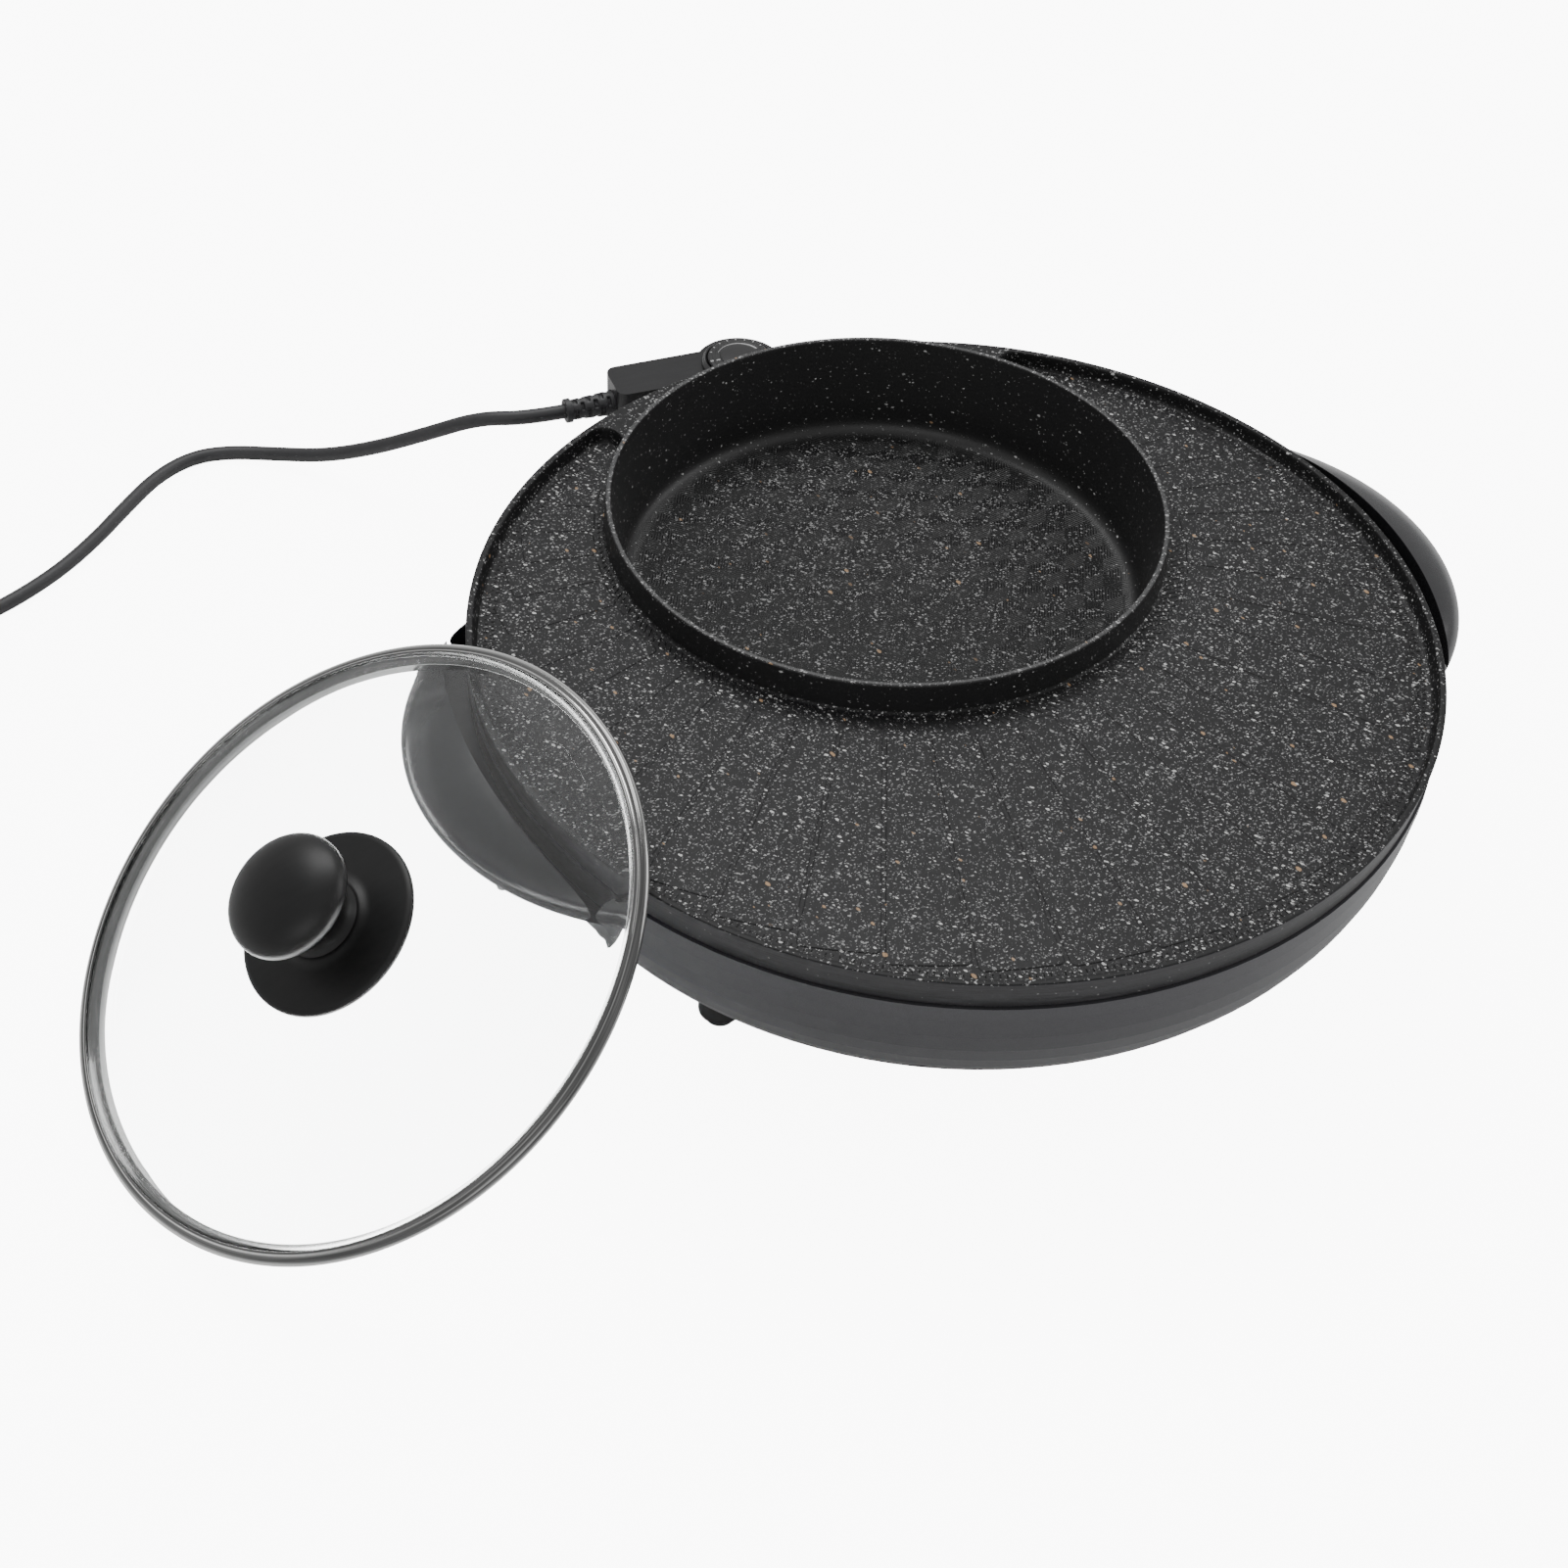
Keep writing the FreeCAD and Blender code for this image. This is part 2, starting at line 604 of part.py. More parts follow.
def lid_parts():
    """The lid's pieces lying flat, ring plane at z = 0, axis up."""
    r = lid_r
    seat = r - 2 * bead_r - 0.2
    flange_r = pot_in_r - lid_flange_gap
    ring = Part.makeTorus(r - bead_r, bead_r)
    top = glass_z + glass_t
    ring = join(ring, cut(cyl(r - 3.0, -1.0, glass_z), cyl(flange_r - 0.8, -2, glass_z + 1)),
                cut(cyl(seat + 1.0, glass_z, top + 0.8), cyl(seat, glass_z - 1, top + 2)),
                cut(cyl(seat + 1.0, top, top + 0.8), cyl(r - lid_lip_w, top - 1, top + 2)),
                cut(cyl(flange_r, -lid_flange_h, -1.0), cyl(flange_r - 0.8, -10, 0)))
    glass = join(cut(cyl(seat, glass_z, top)), dome(0.0, r - 13))
    glass = cut(glass, Part.makeSphere(dome_r - glass_t, V(0, 0, dome_top - dome_r))
                .common(cyl(r - 13 - glass_t, glass_z - 1, dome_top)), cyl(3.0, 0, 60))
    base_z = dome_top + 0.6
    base = turned([(0, 0), (knob_base_r, 0), (knob_base_r, base_z + 0.4), (knob_base_r - 1, base_z + 1.2),
                   (knob_neck_r + 8, base_z + 2.6), (knob_neck_r + 3, base_z + 4.6), (0, base_z + 4.6)])
    over = Part.makeSphere(dome_r + 0.6, V(0, 0, dome_top - dome_r))
    base = cut(base, over, cyl(2.5, 0, 60))
    z0 = base_z + 4.6
    mid = knob_top - 11.0
    knob = turned([(0, z0), (knob_neck_r + 2, z0), (knob_neck_r, z0 + 3), (knob_neck_r - 0.6, z0 + 7)]
                  + [(knob_neck_r + 2.0, mid - 7.5), (knob_r - 5, mid - 5.5)]
                  + arc_points(knob_r - 6, mid, 6, 4.6, -50, 0, 4)
                  + arc_points(0, mid, knob_r, knob_top - mid, 0, 90, 10)[1:])
    low = dome_top - glass_t
    shank = cyl(2.5, low - 1.2, z0 + 14)
    pan = cyl(5.0, low - 4.0, low - 1.2)
    driver = join(box(-3.2, 3.2, -0.5, 0.5, low - 4.0, low - 2.8), box(-0.5, 0.5, -3.2, 3.2, low - 4.0, low - 2.8))
    knob = knob.cut(shank)
    washer = cut(cyl(9.0, low - 1.2, low - 0.15), cyl(2.5, 0, 60))
    seal = cut(cyl(9.0, dome_top + 0.02, dome_top + 0.48), cyl(2.5, 0, 60))
    return {"lid_ring": ring, "lid_glass": glass, "lid_knob_base": base, "lid_knob": knob,
            "lid_screw": join(shank, pan).cut(driver), "lid_seals": group([washer, seal])}


def lean_place():
    """Lean the lid on the table and on the left handle and rim, a small gap short of touching."""
    tilt = math.radians(lid_tilt)
    az = math.radians(lid_azimuth)
    face = V(math.cos(az) * math.sin(tilt), math.sin(az) * math.sin(tilt), math.cos(tilt))
    flange_r = pot_in_r - lid_flange_gap
    low = max(math.sin(tilt) * flange_r + lid_flange_h * math.cos(tilt),
              math.sin(tilt) * (lid_r - bead_r) + bead_r)
    places = []
    for i in range(361):
        a = math.radians(i)
        places.append(V(plate_r * math.cos(a), plate_r * math.sin(a), rim_z))
    edge_r = plate_r + slot_w + 0.8
    for i in range(-40, 41):
        y = slot_half * i / 40
        x_in = math.sqrt(edge_r ** 2 - y * y)
        x_out = handle_x + math.sqrt(max(0.0, handle_r ** 2 - y * y))
        for k in range(9):
            x = x_in + (x_out - x_in) * k / 8
            s = max(0.0, 1 - ((x - handle_x) ** 2 + y * y) / handle_r ** 2)
            if x_out > x_in:
                places.append(V(-x, y, handle_z + handle_up * math.sqrt(s)))
    turning = FreeCAD.Rotation(Z, handle_turn)
    places = [turning.multVec(p) for p in places]

    def gap(distance):
        centre = V(math.cos(az) * distance, math.sin(az) * distance, low + 0.05)
        least = 1e9
        for p in places:
            d = p - centre
            h = d.dot(face)
            r = math.sqrt(max(0.0, d.Length ** 2 - h * h))
            if r > lid_r + 1:
                continue
            if r > flange_r + 1.0:
                under = -bead_r
            elif r > flange_r - 2.0:
                under = -lid_flange_h
            else:
                under = lid_rise * (1 - (r / lid_r) ** 2) - 1.0
            least = min(least, under - h)
        return least

    near, far = plate_r * 0.5, plate_r + lid_r + 60
    for _ in range(40):
        mid = (near + far) / 2
        if gap(mid) > lid_clear:
            far = mid
        else:
            near = mid
    centre = V(math.cos(az) * far, math.sin(az) * far, low + 0.05)
    print("lid centre", [round(c, 2) for c in centre], "face", [round(c, 4) for c in face])
    turn = FreeCAD.Rotation(V(-math.sin(az), math.cos(az), 0), lid_tilt)
    return FreeCAD.Placement(centre, turn)


# ---- build --------------------------------------------------------------------------------
def build_base():
    plate = cut(plate_bodies(), *plate_screws)
    save("griddle_plate", plate)

    shell = outer_bowl.fuse(cyl(shell_r + collar_step, shell_top - collar_h, shell_top)).cut(inner_bowl)
    shell = shell.cut(cyl(shell_hole_r, 0, 60))
    posts = []
    for x, y in post_places:
        posts.append(cyl(post_r, 0, under_z - boss_h, x, y).common(inner_bowl))
    foot_bosses = [join(cyl(5.5, 0, reflector_z + 8.0, x, y), cyl(8.0, 0, reflector_z, x, y))
                   .common(inner_bowl) for x, y in foot_places()]
    shell = join(shell, *(posts + foot_bosses + cover_bosses))
    opening = box(-guard_w / 2 + guard_t, guard_w / 2 - guard_t, 0, 400,
                  probe_z - guard_h / 2 + guard_t, probe_z + guard_h / 2 - guard_t)
    wells = [cyl(4.4, 0, s.BoundBox.ZMin + 3.0, s.BoundBox.Center.x, s.BoundBox.Center.y)
             for s in plate_screws]
    shell = cut(shell, opening, *(wells + plate_screws + foot_screws + cover_screws
                                  + handle_screws + guard_screws))
    save("base_shell", shell)

    cover = cyl(cover_r, shell_base_z - cover_t, shell_base_z)
    vent = round_box(36, 76, -2.5, 2.5, 0, 60, 2.4)
    for i in range(vent_count):
        turned_vent = vent.copy()
        turned_vent.rotate(O, Z, 360.0 / vent_count * (i + 0.5))
        cover = cover.cut(turned_vent)
    save("bottom_cover", cut(cover, *cover_screws))

    feet = []
    pads = []
    for x, y in foot_places():
        rounding = arc_points(foot_r - foot_round, pad_h + foot_round, foot_round, foot_round, -90, 0, 4)
        foot = turned([(0, pad_h)] + rounding + [(foot_r, foot_top), (0, foot_top)], x, y)
        foot = foot.cut(outer_bowl)
        lower = min(foot.Solids, key=lambda s: s.BoundBox.ZMin)
        feet.append(cut(lower, cyl(4.4, 0, 8.0, x, y), cyl(pad_r, 0, pad_h + pad_sunk, x, y),
                        *foot_screws))
        pads.append(join(cyl(pad_r, 0, pad_h + pad_sunk, x, y),
                         cyl(4.4, pad_h + pad_sunk, 7.5, x, y)))
    save("feet", group(feet))
    save("foot_pads", group(pads))
    save("foot_screws", group(foot_screws))
    save("plate_screws", group(plate_screws))
    save("cover_screws", group(cover_screws))

    edge = plate_r - 26.0
    reflector = turned([(0, reflector_z), (edge - 8, reflector_z), (edge, reflector_z + 8),
                        (edge, reflector_z + 8 + reflector_t), (edge - 8, reflector_z + reflector_t),
                        (0, reflector_z + reflector_t)])
    holes = [cyl(5.8, 0, 100, x, y) for x, y in foot_places()]
    save("heat_reflector", cut(reflector, *holes))

    for side, name in ((-1, "left"), (1, "right")):
        upper, lower = swung(handle_pair(side))
        joining = swung(joining_screws(side))
        save("handle_" + name, cut(upper, *joining))
        save("handle_cover_" + name, cut(lower, *(handle_screws + joining + swung(joining_wells(side)))))
    save("handle_screws", group(handle_screws))
    save("handle_joining_screws", group(swung(joining_screws(-1) + joining_screws(1))))

    save("socket_guard", guard())
    save("socket_screws", group(guard_screws))
    save("terminal_pins", group(pins))
    save("terminal_block", terminal_block())
    save("heater_pot", pot_heater())
    save("heater_grill", grill_heater())
    save("heater_clips", group(heater_clips()))


def heater_clips():
    """Sheet straps that hold the elements up against the casting."""
    out = []
    for a in (-25, -90, -155):
        x, y = math.cos(math.radians(a)), math.sin(math.radians(a))
        r = (grill_arc_r + grill_return_r) / 2
        strap = box(-19, 19, -5, 5, grill_z - tube_r - 1.1, grill_z - tube_r - 0.1)
        post = cyl(3.5, grill_z - tube_r - 0.1, under_z)
        clip = strap.fuse(post)
        clip.rotate(O, Z, a)
        clip.translate(V(x * r, y * r, 0))
        out.append(clip)
    for a in (0, 180, 270):
        x, y = math.cos(math.radians(a)), math.sin(math.radians(a))
        strap = box(-9, 9, -5, 5, heater_z - tube_r - 1.1, heater_z - tube_r - 0.1)
        post = cyl(3.0, heater_z - tube_r - 0.1, pot_under, -5.5)
        clip = strap.fuse(post)
        clip.rotate(O, Z, a)
        clip.translate(V(x * (pot_ring_r - 1.5), y * (pot_ring_r - 1.5) + pot_y, 0))
        out.append(clip)
    return out


def build_thermostat():
    save("ctl_case_top", case_half(True))
    save("ctl_case_bottom", case_half(False))
    save("ctl_screws", group(case_screws))
    sleeves = [cut(rod_y(sleeve_r, nose_y + 1.0, head_y + 6.0, s * pin_x),
                   rod_y(pin_r + run_clear, nose_y, head_y + 7.0, s * pin_x)) for s in (-1, 1)]
    probe = rod_y(probe_r, probe_tip_y + probe_r, head_y + 6.0)
    probe = probe.fuse(Part.makeSphere(probe_r, V(0, probe_tip_y + probe_r, probe_z)))
    holes = [rod_y(sleeve_r, nose_y + 1.0, 400, s * pin_x) for s in (-1, 1)]
    mouths = [rod_y(pin_r + 0.6, nose_y - 1, nose_y + 1.0, s * pin_x) for s in (-1, 1)]
    save("ctl_nose", cut(nose_body, rod_y(probe_r, 0, 400), *(holes + mouths)))
    save("contact_sleeves", group(sleeves))
    save("probe", probe)
    switch = round_box(-13, 13, dial_y - 10, dial_y + 12, probe_z - 8.5, probe_z + 5.0, 2.0)
    save("thermostat_switch", switch.cut(cyl(spindle_r + run_clear, probe_z, 200, 0, dial_y)))
    save("dial_bezel", bezel())
    save("dial", dial_knob())
    save("dial_spindle", spindle)
    save("strain_relief", strain_relief())


def build_lead():
    coil = turned([(coil_inner, 0.0), (coil_outer, 0.0), (coil_outer, coil_h), (coil_inner, coil_h)],
                  coil_x, coil_y)
    save("cord", routed(lead_route(), cord_d / 2, "cord").cut(coil))
    save("cord_coil", coil)
    tail = rod_y(cord_d / 2, coil_y, plug_y, plug_x, plug_z).cut(coil)
    save("cord_tail", tail)
    relief = Part.makeCone(cord_d / 2 + 1.0, cord_d / 2 + 3.0, plug_relief_l, V(plug_x, plug_y, plug_z), Y)
    y0 = plug_y + plug_relief_l
    grip = round_box(plug_x - plug_w / 2, plug_x + plug_w / 2, y0, y0 + plug_l, plug_z - plug_h / 2,
                     plug_z + plug_h / 2, 3.5)
    save("plug", join(relief, grip))
    blades = [box(plug_x + s * blade_pitch / 2 - blade_t / 2, plug_x + s * blade_pitch / 2 + blade_t / 2,
                  y0 + plug_l, y0 + plug_l + blade_l, plug_z - blade_w / 2, plug_z + blade_w / 2)
              for s in (-1, 1)]
    save("plug_blades", group(blades))


def build_lid():
    place = lean_place()
    for name, shape in lid_parts().items():
        shape.Placement = place.multiply(shape.Placement)
        save(name, shape)


build_base()
build_thermostat()
build_lead()
build_lid()
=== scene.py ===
"""Electric griddle with a hot pot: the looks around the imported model, in metres."""
import json
import math

import bmesh
import bpy
import numpy as np
from mathutils import Matrix, Vector


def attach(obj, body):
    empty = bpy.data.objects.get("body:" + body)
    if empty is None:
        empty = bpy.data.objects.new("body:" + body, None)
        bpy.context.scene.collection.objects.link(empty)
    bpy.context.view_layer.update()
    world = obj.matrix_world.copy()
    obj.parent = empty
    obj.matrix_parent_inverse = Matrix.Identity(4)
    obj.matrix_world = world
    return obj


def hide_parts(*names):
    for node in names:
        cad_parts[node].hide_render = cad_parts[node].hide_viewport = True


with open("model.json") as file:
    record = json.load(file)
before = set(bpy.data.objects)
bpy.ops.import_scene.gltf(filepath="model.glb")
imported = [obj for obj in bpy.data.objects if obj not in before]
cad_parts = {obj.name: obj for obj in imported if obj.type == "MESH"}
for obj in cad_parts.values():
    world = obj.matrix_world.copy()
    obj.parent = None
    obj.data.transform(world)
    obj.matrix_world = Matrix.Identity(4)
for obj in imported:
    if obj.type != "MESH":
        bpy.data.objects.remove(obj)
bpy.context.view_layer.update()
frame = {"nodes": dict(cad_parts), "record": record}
MM = 0.001

# ---- sizes, in millimetres ------------------------------------------------------------------
RIM_R, RIM_Z, RIM_W = 200.0, 114.0, 2.7
TRAY_Z = 107.1
BAND_Z, BAND_LOW_R = 100.6, 198.5
PLATE_UNDER = 103.1
LAND_HALF, LAND_NARROW = 97.0, 90.0
POT_Y, POT_R, POT_TOP = 74.7, 120.8, 121.5
POT_FOOT_R, POT_FLOOR, POT_UNDER = 121.5, 72.5, 69.3
DIAL_Y, PROBE_Z, ARM_Y = 257.0, 58.0, 260.0
CORD_D = 7.0
LID_TILT, LID_AZIMUTH = math.radians(32.3), math.radians(-168.3)
LID_CENTRE = (-269.07, -55.72, 69.87)
DOME_R, DOME_TOP, DOME_EDGE, GLASS_T = 463.0, 16.2, 113.0, 4.0


# ---- camera ---------------------------------------------------------------------------------
def place_camera():
    """A camera on the viewing line: heading and pitch give its axis, then it rolls about that axis."""
    heading, pitch, roll = math.radians(23.0), math.radians(44.02), math.radians(-3.38)
    ahead = Vector((math.cos(pitch) * math.sin(heading), math.cos(pitch) * math.cos(heading),
                    -math.sin(pitch)))
    side = Vector((math.cos(heading), -math.sin(heading), 0.0))
    down = ahead.cross(side)
    x = math.cos(roll) * side + math.sin(roll) * down
    y = math.sin(roll) * side - math.cos(roll) * down
    lens = bpy.data.cameras.new("studio_camera")
    lens.sensor_width = 36.0
    lens.lens = 58.14
    lens.clip_start, lens.clip_end = 0.05, 60.0
    cam = bpy.data.objects.new("studio_camera", lens)
    turn = Matrix((x, y, -ahead)).transposed().to_4x4()
    cam.matrix_world = Matrix.Translation((-0.37288, -0.70845, 0.78494)) @ turn
    bpy.context.scene.collection.objects.link(cam)
    bpy.context.scene.camera = cam


place_camera()


# ---- meshes from grids ----------------------------------------------------------------------
def quads(rows, cols, close_rows=False, close_cols=False):
    """Corner numbers of the quads of a grid whose points are numbered row by row."""
    r = np.arange(rows if close_rows else rows - 1)
    c = np.arange(cols if close_cols else cols - 1)
    a, b = np.meshgrid(r, c, indexing="ij")
    a2, b2 = (a + 1) % rows, (b + 1) % cols
    return np.stack([a * cols + b, a * cols + b2, a2 * cols + b2, a2 * cols + b], -1).reshape(-1, 4)


def build(name, points, faces, material, body, nodes=(), sharp=40.0, attributes=(),
          finish_index=None):
    """One object from points in millimetres and quads: points that coincide become one, so seams
    and poles close, and quads with two equal corners become triangles. The quads are turned over if the
    volume they enclose, summed from a point below, comes out negative, so that they face outwards.
    material is one or several, and finish_index then says which one each quad has."""
    points = np.asarray(points, float).reshape(-1, 3)
    keys = np.round(points * 2000).astype(np.int64)
    _, first, number = np.unique(keys, axis=0, return_index=True, return_inverse=True)
    faces = number.reshape(-1)[np.asarray(faces)]
    corner = points[first][faces] - (0.0, 0.0, points[:, 2].min() - 1000.0)
    halves = (np.einsum("ij,ij->", corner[:, 0], np.cross(corner[:, 1], corner[:, 2]))
              + np.einsum("ij,ij->", corner[:, 0], np.cross(corner[:, 2], corner[:, 3])))
    if halves < 0:
        faces = faces[:, ::-1]
    same = faces == np.roll(faces, -1, axis=1)
    whole = faces[same.sum(1) == 0]
    part, hit = faces[same.sum(1) == 1], same[same.sum(1) == 1]
    thirds = part[~hit].reshape(-1, 3)
    count = same.sum(1)
    mesh = bpy.data.meshes.new(name)
    mesh.from_pydata((points[first] * MM).tolist(), [], whole.tolist() + thirds.tolist())
    for key, values in attributes:
        layer = mesh.attributes.new(key, "FLOAT", "POINT")
        layer.data.foreach_set("value", np.asarray(values, float).reshape(-1)[first])
    for one in material if isinstance(material, list) else [material]:
        mesh.materials.append(one)
    if finish_index is not None:
        own = np.concatenate([finish_index[count == 0], finish_index[count == 1]])
        mesh.polygons.foreach_set("material_index", own.astype(np.int32))
    mesh.shade_smooth()
    mesh.set_sharp_from_angle(angle=math.radians(sharp))
    piece = bpy.data.objects.new(name, mesh)
    bpy.context.scene.collection.objects.link(piece)
    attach(piece, body)
    if nodes:
        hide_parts(*nodes)
    return piece


def softened(profile, radius, steps=4):
    """A closed or open run of corners with each inner corner replaced by a short curve: the curve is
    the quadratic one whose middle control point is the corner. radius is one number or one each."""
    p = np.asarray(profile, float)
    radii = np.broadcast_to(np.asarray(radius, float), (len(p),))
    out = [p[:1]]
    t = np.linspace(0, 1, steps + 1)[:, None]
    for before, corner, after, r in zip(p[:-2], p[1:-1], p[2:], radii[1:-1]):
        if r == 0:
            out.append(corner[None])
            continue
        to_a, to_b = before - corner, after - corner
        r = min(r, np.linalg.norm(to_a) * 0.49, np.linalg.norm(to_b) * 0.49)
        a = corner + to_a / np.linalg.norm(to_a) * r
        b = corner + to_b / np.linalg.norm(to_b) * r
        out.append((1 - t) ** 2 * a + 2 * t * (1 - t) * corner + t * t * b)
    out.append(p[-1:])
    return np.concatenate(out)


def turned(profile, centre=(0.0, 0.0), steps=256):
    """Surface of revolution: each (radius, height) of the profile is carried once round the upright
    axis through the centre, as x = r cos a, y = r sin a."""
    p = np.asarray(profile, float)
    a = np.arange(steps) * 2 * math.pi / steps
    x = centre[0] + p[:, :1] * np.cos(a)
    y = centre[1] + p[:, :1] * np.sin(a)
    z = np.broadcast_to(p[:, 1:], x.shape)
    return np.stack([x, y, z], -1), quads(len(p), steps, False, True)


def turned_round(profile, steps, place):
    """Closed band of revolution: the outline is carried once round the axis and its last row joins the
    first. place is a matrix in millimetres that carries it from upright at the origin to where it
    belongs."""
    points, _ = turned(profile, (0.0, 0.0), steps)
    m = np.array(place)
    return points @ m[:3, :3].T + m[:3, 3], quads(len(profile), steps, True, True)


def rounded_outline(corners, radius, steps=4):
    """A closed outline with every corner softened by the same rule as softened()."""
    c = [tuple(p) for p in corners]
    middle = tuple((np.array(c[0]) + np.array(c[-1])) / 2)
    radii = [0] + list(np.broadcast_to(radius, (len(c),))) + [0]
    return softened([middle] + c + [middle], radii, steps)[:-1]


def smooth_step(x):
    """3x^2 - 2x^3 between 0 and 1, flat outside."""
    x = np.clip(x, 0, 1)
    return x * x * (3 - 2 * x)


# ---- shading --------------------------------------------------------------------------------
def feed(tree, socket, value):
    """Set a socket to a number or colour, or link another socket into it."""
    if isinstance(value, bpy.types.NodeSocket):
        tree.links.new(value, socket)
    elif value is not None:
        if hasattr(socket.default_value, "__len__") and hasattr(value, "__len__"):
            value = (list(value) + [1.0])[:len(socket.default_value)]
        socket.default_value = value


def add(tree, kind, *values, **named):
    """One shader node. Unnamed values go to its sockets in order, named ones by socket name with _
    for a space; a name that begins with set_ is one of the node's own settings."""
    n = tree.nodes.new("ShaderNode" + kind)
    for key, value in named.items():
        if key.startswith("set_"):
            setattr(n, key[4:], value)
    for socket, value in zip(n.inputs, values):
        feed(tree, socket, value)
    for key, value in named.items():
        if not key.startswith("set_"):
            feed(tree, n.inputs[key.replace("_", " ")], value)
    return n


def calc(tree, what, *values):
    return add(tree, "Math", *values, set_operation=what).outputs[0]


def vec(tree, what, *values):
    n = add(tree, "VectorMath", *values, set_operation=what)
    return n.outputs[1 if what in ("LENGTH", "DISTANCE", "DOT_PRODUCT") else 0]


def mixed(tree, share, a, b):
    """Colour a where share is 0, b where it is 1."""
    n = add(tree, "Mix", set_data_type="RGBA")
    feed(tree, n.inputs[0], share)
    feed(tree, n.inputs[6], a)
    feed(tree, n.inputs[7], b)
    return n.outputs[2]


def spread(tree, value, low, high, to_low=0.0, to_high=1.0):
    """Value moved from the range low..high to to_low..to_high, and held there."""
    return add(tree, "MapRange", value, low, high, to_low, to_high).outputs[0]


def noise(tree, where, scale, detail=2.0, rough=0.5):
    return add(tree, "TexNoise", Vector=where, Scale=scale, Detail=detail, Roughness=rough).outputs[0]


def cells(tree, where, scale):
    """Distance to the nearest of scattered points, and that point's own random colour."""
    n = add(tree, "TexVoronoi", Vector=where, Scale=scale)
    return n.outputs["Distance"], n.outputs["Color"]


def group(name, inputs, outputs):
    """An empty shader group with its named sockets: (name, kind, start value) each."""
    tree = bpy.data.node_groups.new(name, "ShaderNodeTree")
    for key, kind, value in inputs:
        s = tree.interface.new_socket(key, in_out="INPUT", socket_type="NodeSocket" + kind)
        if value is not None:
            s.default_value = value
    for key, kind in outputs:
        tree.interface.new_socket(key, in_out="OUTPUT", socket_type="NodeSocket" + kind)
    return tree, tree.nodes.new("NodeGroupInput").outputs, tree.nodes.new("NodeGroupOutput").inputs


def use(tree, shared, **values):
    """Place a shared group in a material with its own values."""
    n = tree.nodes.new("ShaderNodeGroup")
    n.node_tree = shared
    for key, value in values.items():
        feed(tree, n.inputs[key.replace("_", " ")], value)
    return n.outputs


def make_flecks():
    """Stone flecks: scattered points, each a small spot whose edge is broken by noise and whose size
    is its own; a cell shows its spot only if its random number is below Cover."""
    tree, given, out = group("stone_flecks", [
        ("Place", "Vector", None), ("Cell", "Float", 1.5), ("Cover", "Float", 0.4),
        ("Size", "Float", 0.3)], [("Mask", "Float"), ("Tone", "Float")])
    wobble = add(tree, "TexNoise", Vector=given["Place"], Scale=900.0, Detail=2.0)
    pull = vec(tree, "SUBTRACT", wobble.outputs["Color"], (0.5, 0.5, 0.5))
    moved = vec(tree, "ADD", given["Place"], add(tree, "VectorMath", pull, (0, 0, 0), (0, 0, 0), 0.0011,
                                                 set_operation="SCALE").outputs[0])
    scale = calc(tree, "DIVIDE", 1000.0, given["Cell"])
    far, colour = cells(tree, moved, scale)
    split = add(tree, "SeparateColor", colour)
    shown = calc(tree, "LESS_THAN", split.outputs[0], given["Cover"])
    own = calc(tree, "MULTIPLY", given["Size"], calc(tree, "ADD", 0.45, split.outputs[1]))
    spot = spread(tree, calc(tree, "SUBTRACT", own, far), 0.0, 0.05)
    feed(tree, out["Mask"], calc(tree, "MULTIPLY", spot, shown))
    feed(tree, out["Tone"], split.outputs[2])
    return tree


def make_grain():
    """Fine moulded or sprayed texture: two sizes of noise added as a height."""
    tree, given, out = group("fine_grain", [
        ("Place", "Vector", None), ("Size", "Float", 0.6), ("Depth", "Float", 1.0)],
        [("Height", "Float")])
    scale = calc(tree, "DIVIDE", 1000.0, given["Size"])
    small = noise(tree, given["Place"], scale, 3.0, 0.6)
    large = noise(tree, given["Place"], calc(tree, "MULTIPLY", scale, 0.2), 2.0)
    feed(tree, out["Height"], calc(tree, "MULTIPLY", given["Depth"],
                                   calc(tree, "ADD", small, calc(tree, "MULTIPLY", large, 0.7))))
    return tree


def make_handling():
    """Light unevenness from wiping and handling: large soft noise crossed with fine streaks, given
    out as a roughness around Base and as a mask."""
    tree, given, out = group("handling_marks", [
        ("Place", "Vector", None), ("Base", "Float", 0.4), ("Spread", "Float", 0.08)],
        [("Roughness", "Float"), ("Mask", "Float")])
    soft = noise(tree, given["Place"], 18.0, 3.0, 0.55)
    streak = noise(tree, vec(tree, "MULTIPLY", given["Place"], (40.0, 400.0, 160.0)), 1.0, 2.0)
    both = calc(tree, "ADD", calc(tree, "MULTIPLY", soft, 0.7), calc(tree, "MULTIPLY", streak, 0.3))
    even = calc(tree, "SUBTRACT", both, 0.5)
    feed(tree, out["Roughness"], calc(tree, "MULTIPLY_ADD", even, given["Spread"], given["Base"]))
    feed(tree, out["Mask"], spread(tree, both, 0.35, 0.65))
    return tree


def make_streaks():
    """Hairlines that run level round an upright axis: noise read at (angle, height, radius) with the
    height and radius stretched."""
    tree, given, out = group("level_hairlines", [
        ("Place", "Vector", None), ("Pitch", "Float", 0.5), ("Length", "Float", 30.0)],
        [("Height", "Float")])
    p = add(tree, "SeparateXYZ", given["Place"])
    radius = vec(tree, "LENGTH", vec(tree, "MULTIPLY", given["Place"], (1.0, 1.0, 0.0)))
    angle = calc(tree, "MULTIPLY", calc(tree, "ARCTAN2", p.outputs[1], p.outputs[0]), 0.2)
    fine = calc(tree, "DIVIDE", 1000.0, given["Pitch"])
    where = add(tree, "CombineXYZ", calc(tree, "MULTIPLY", angle, calc(tree, "DIVIDE", 1000.0,
                given["Length"])), calc(tree, "MULTIPLY", p.outputs[2], fine),
                calc(tree, "MULTIPLY", radius, fine))
    feed(tree, out["Height"], noise(tree, where.outputs[0], 1.0, 3.0, 0.6))
    return tree


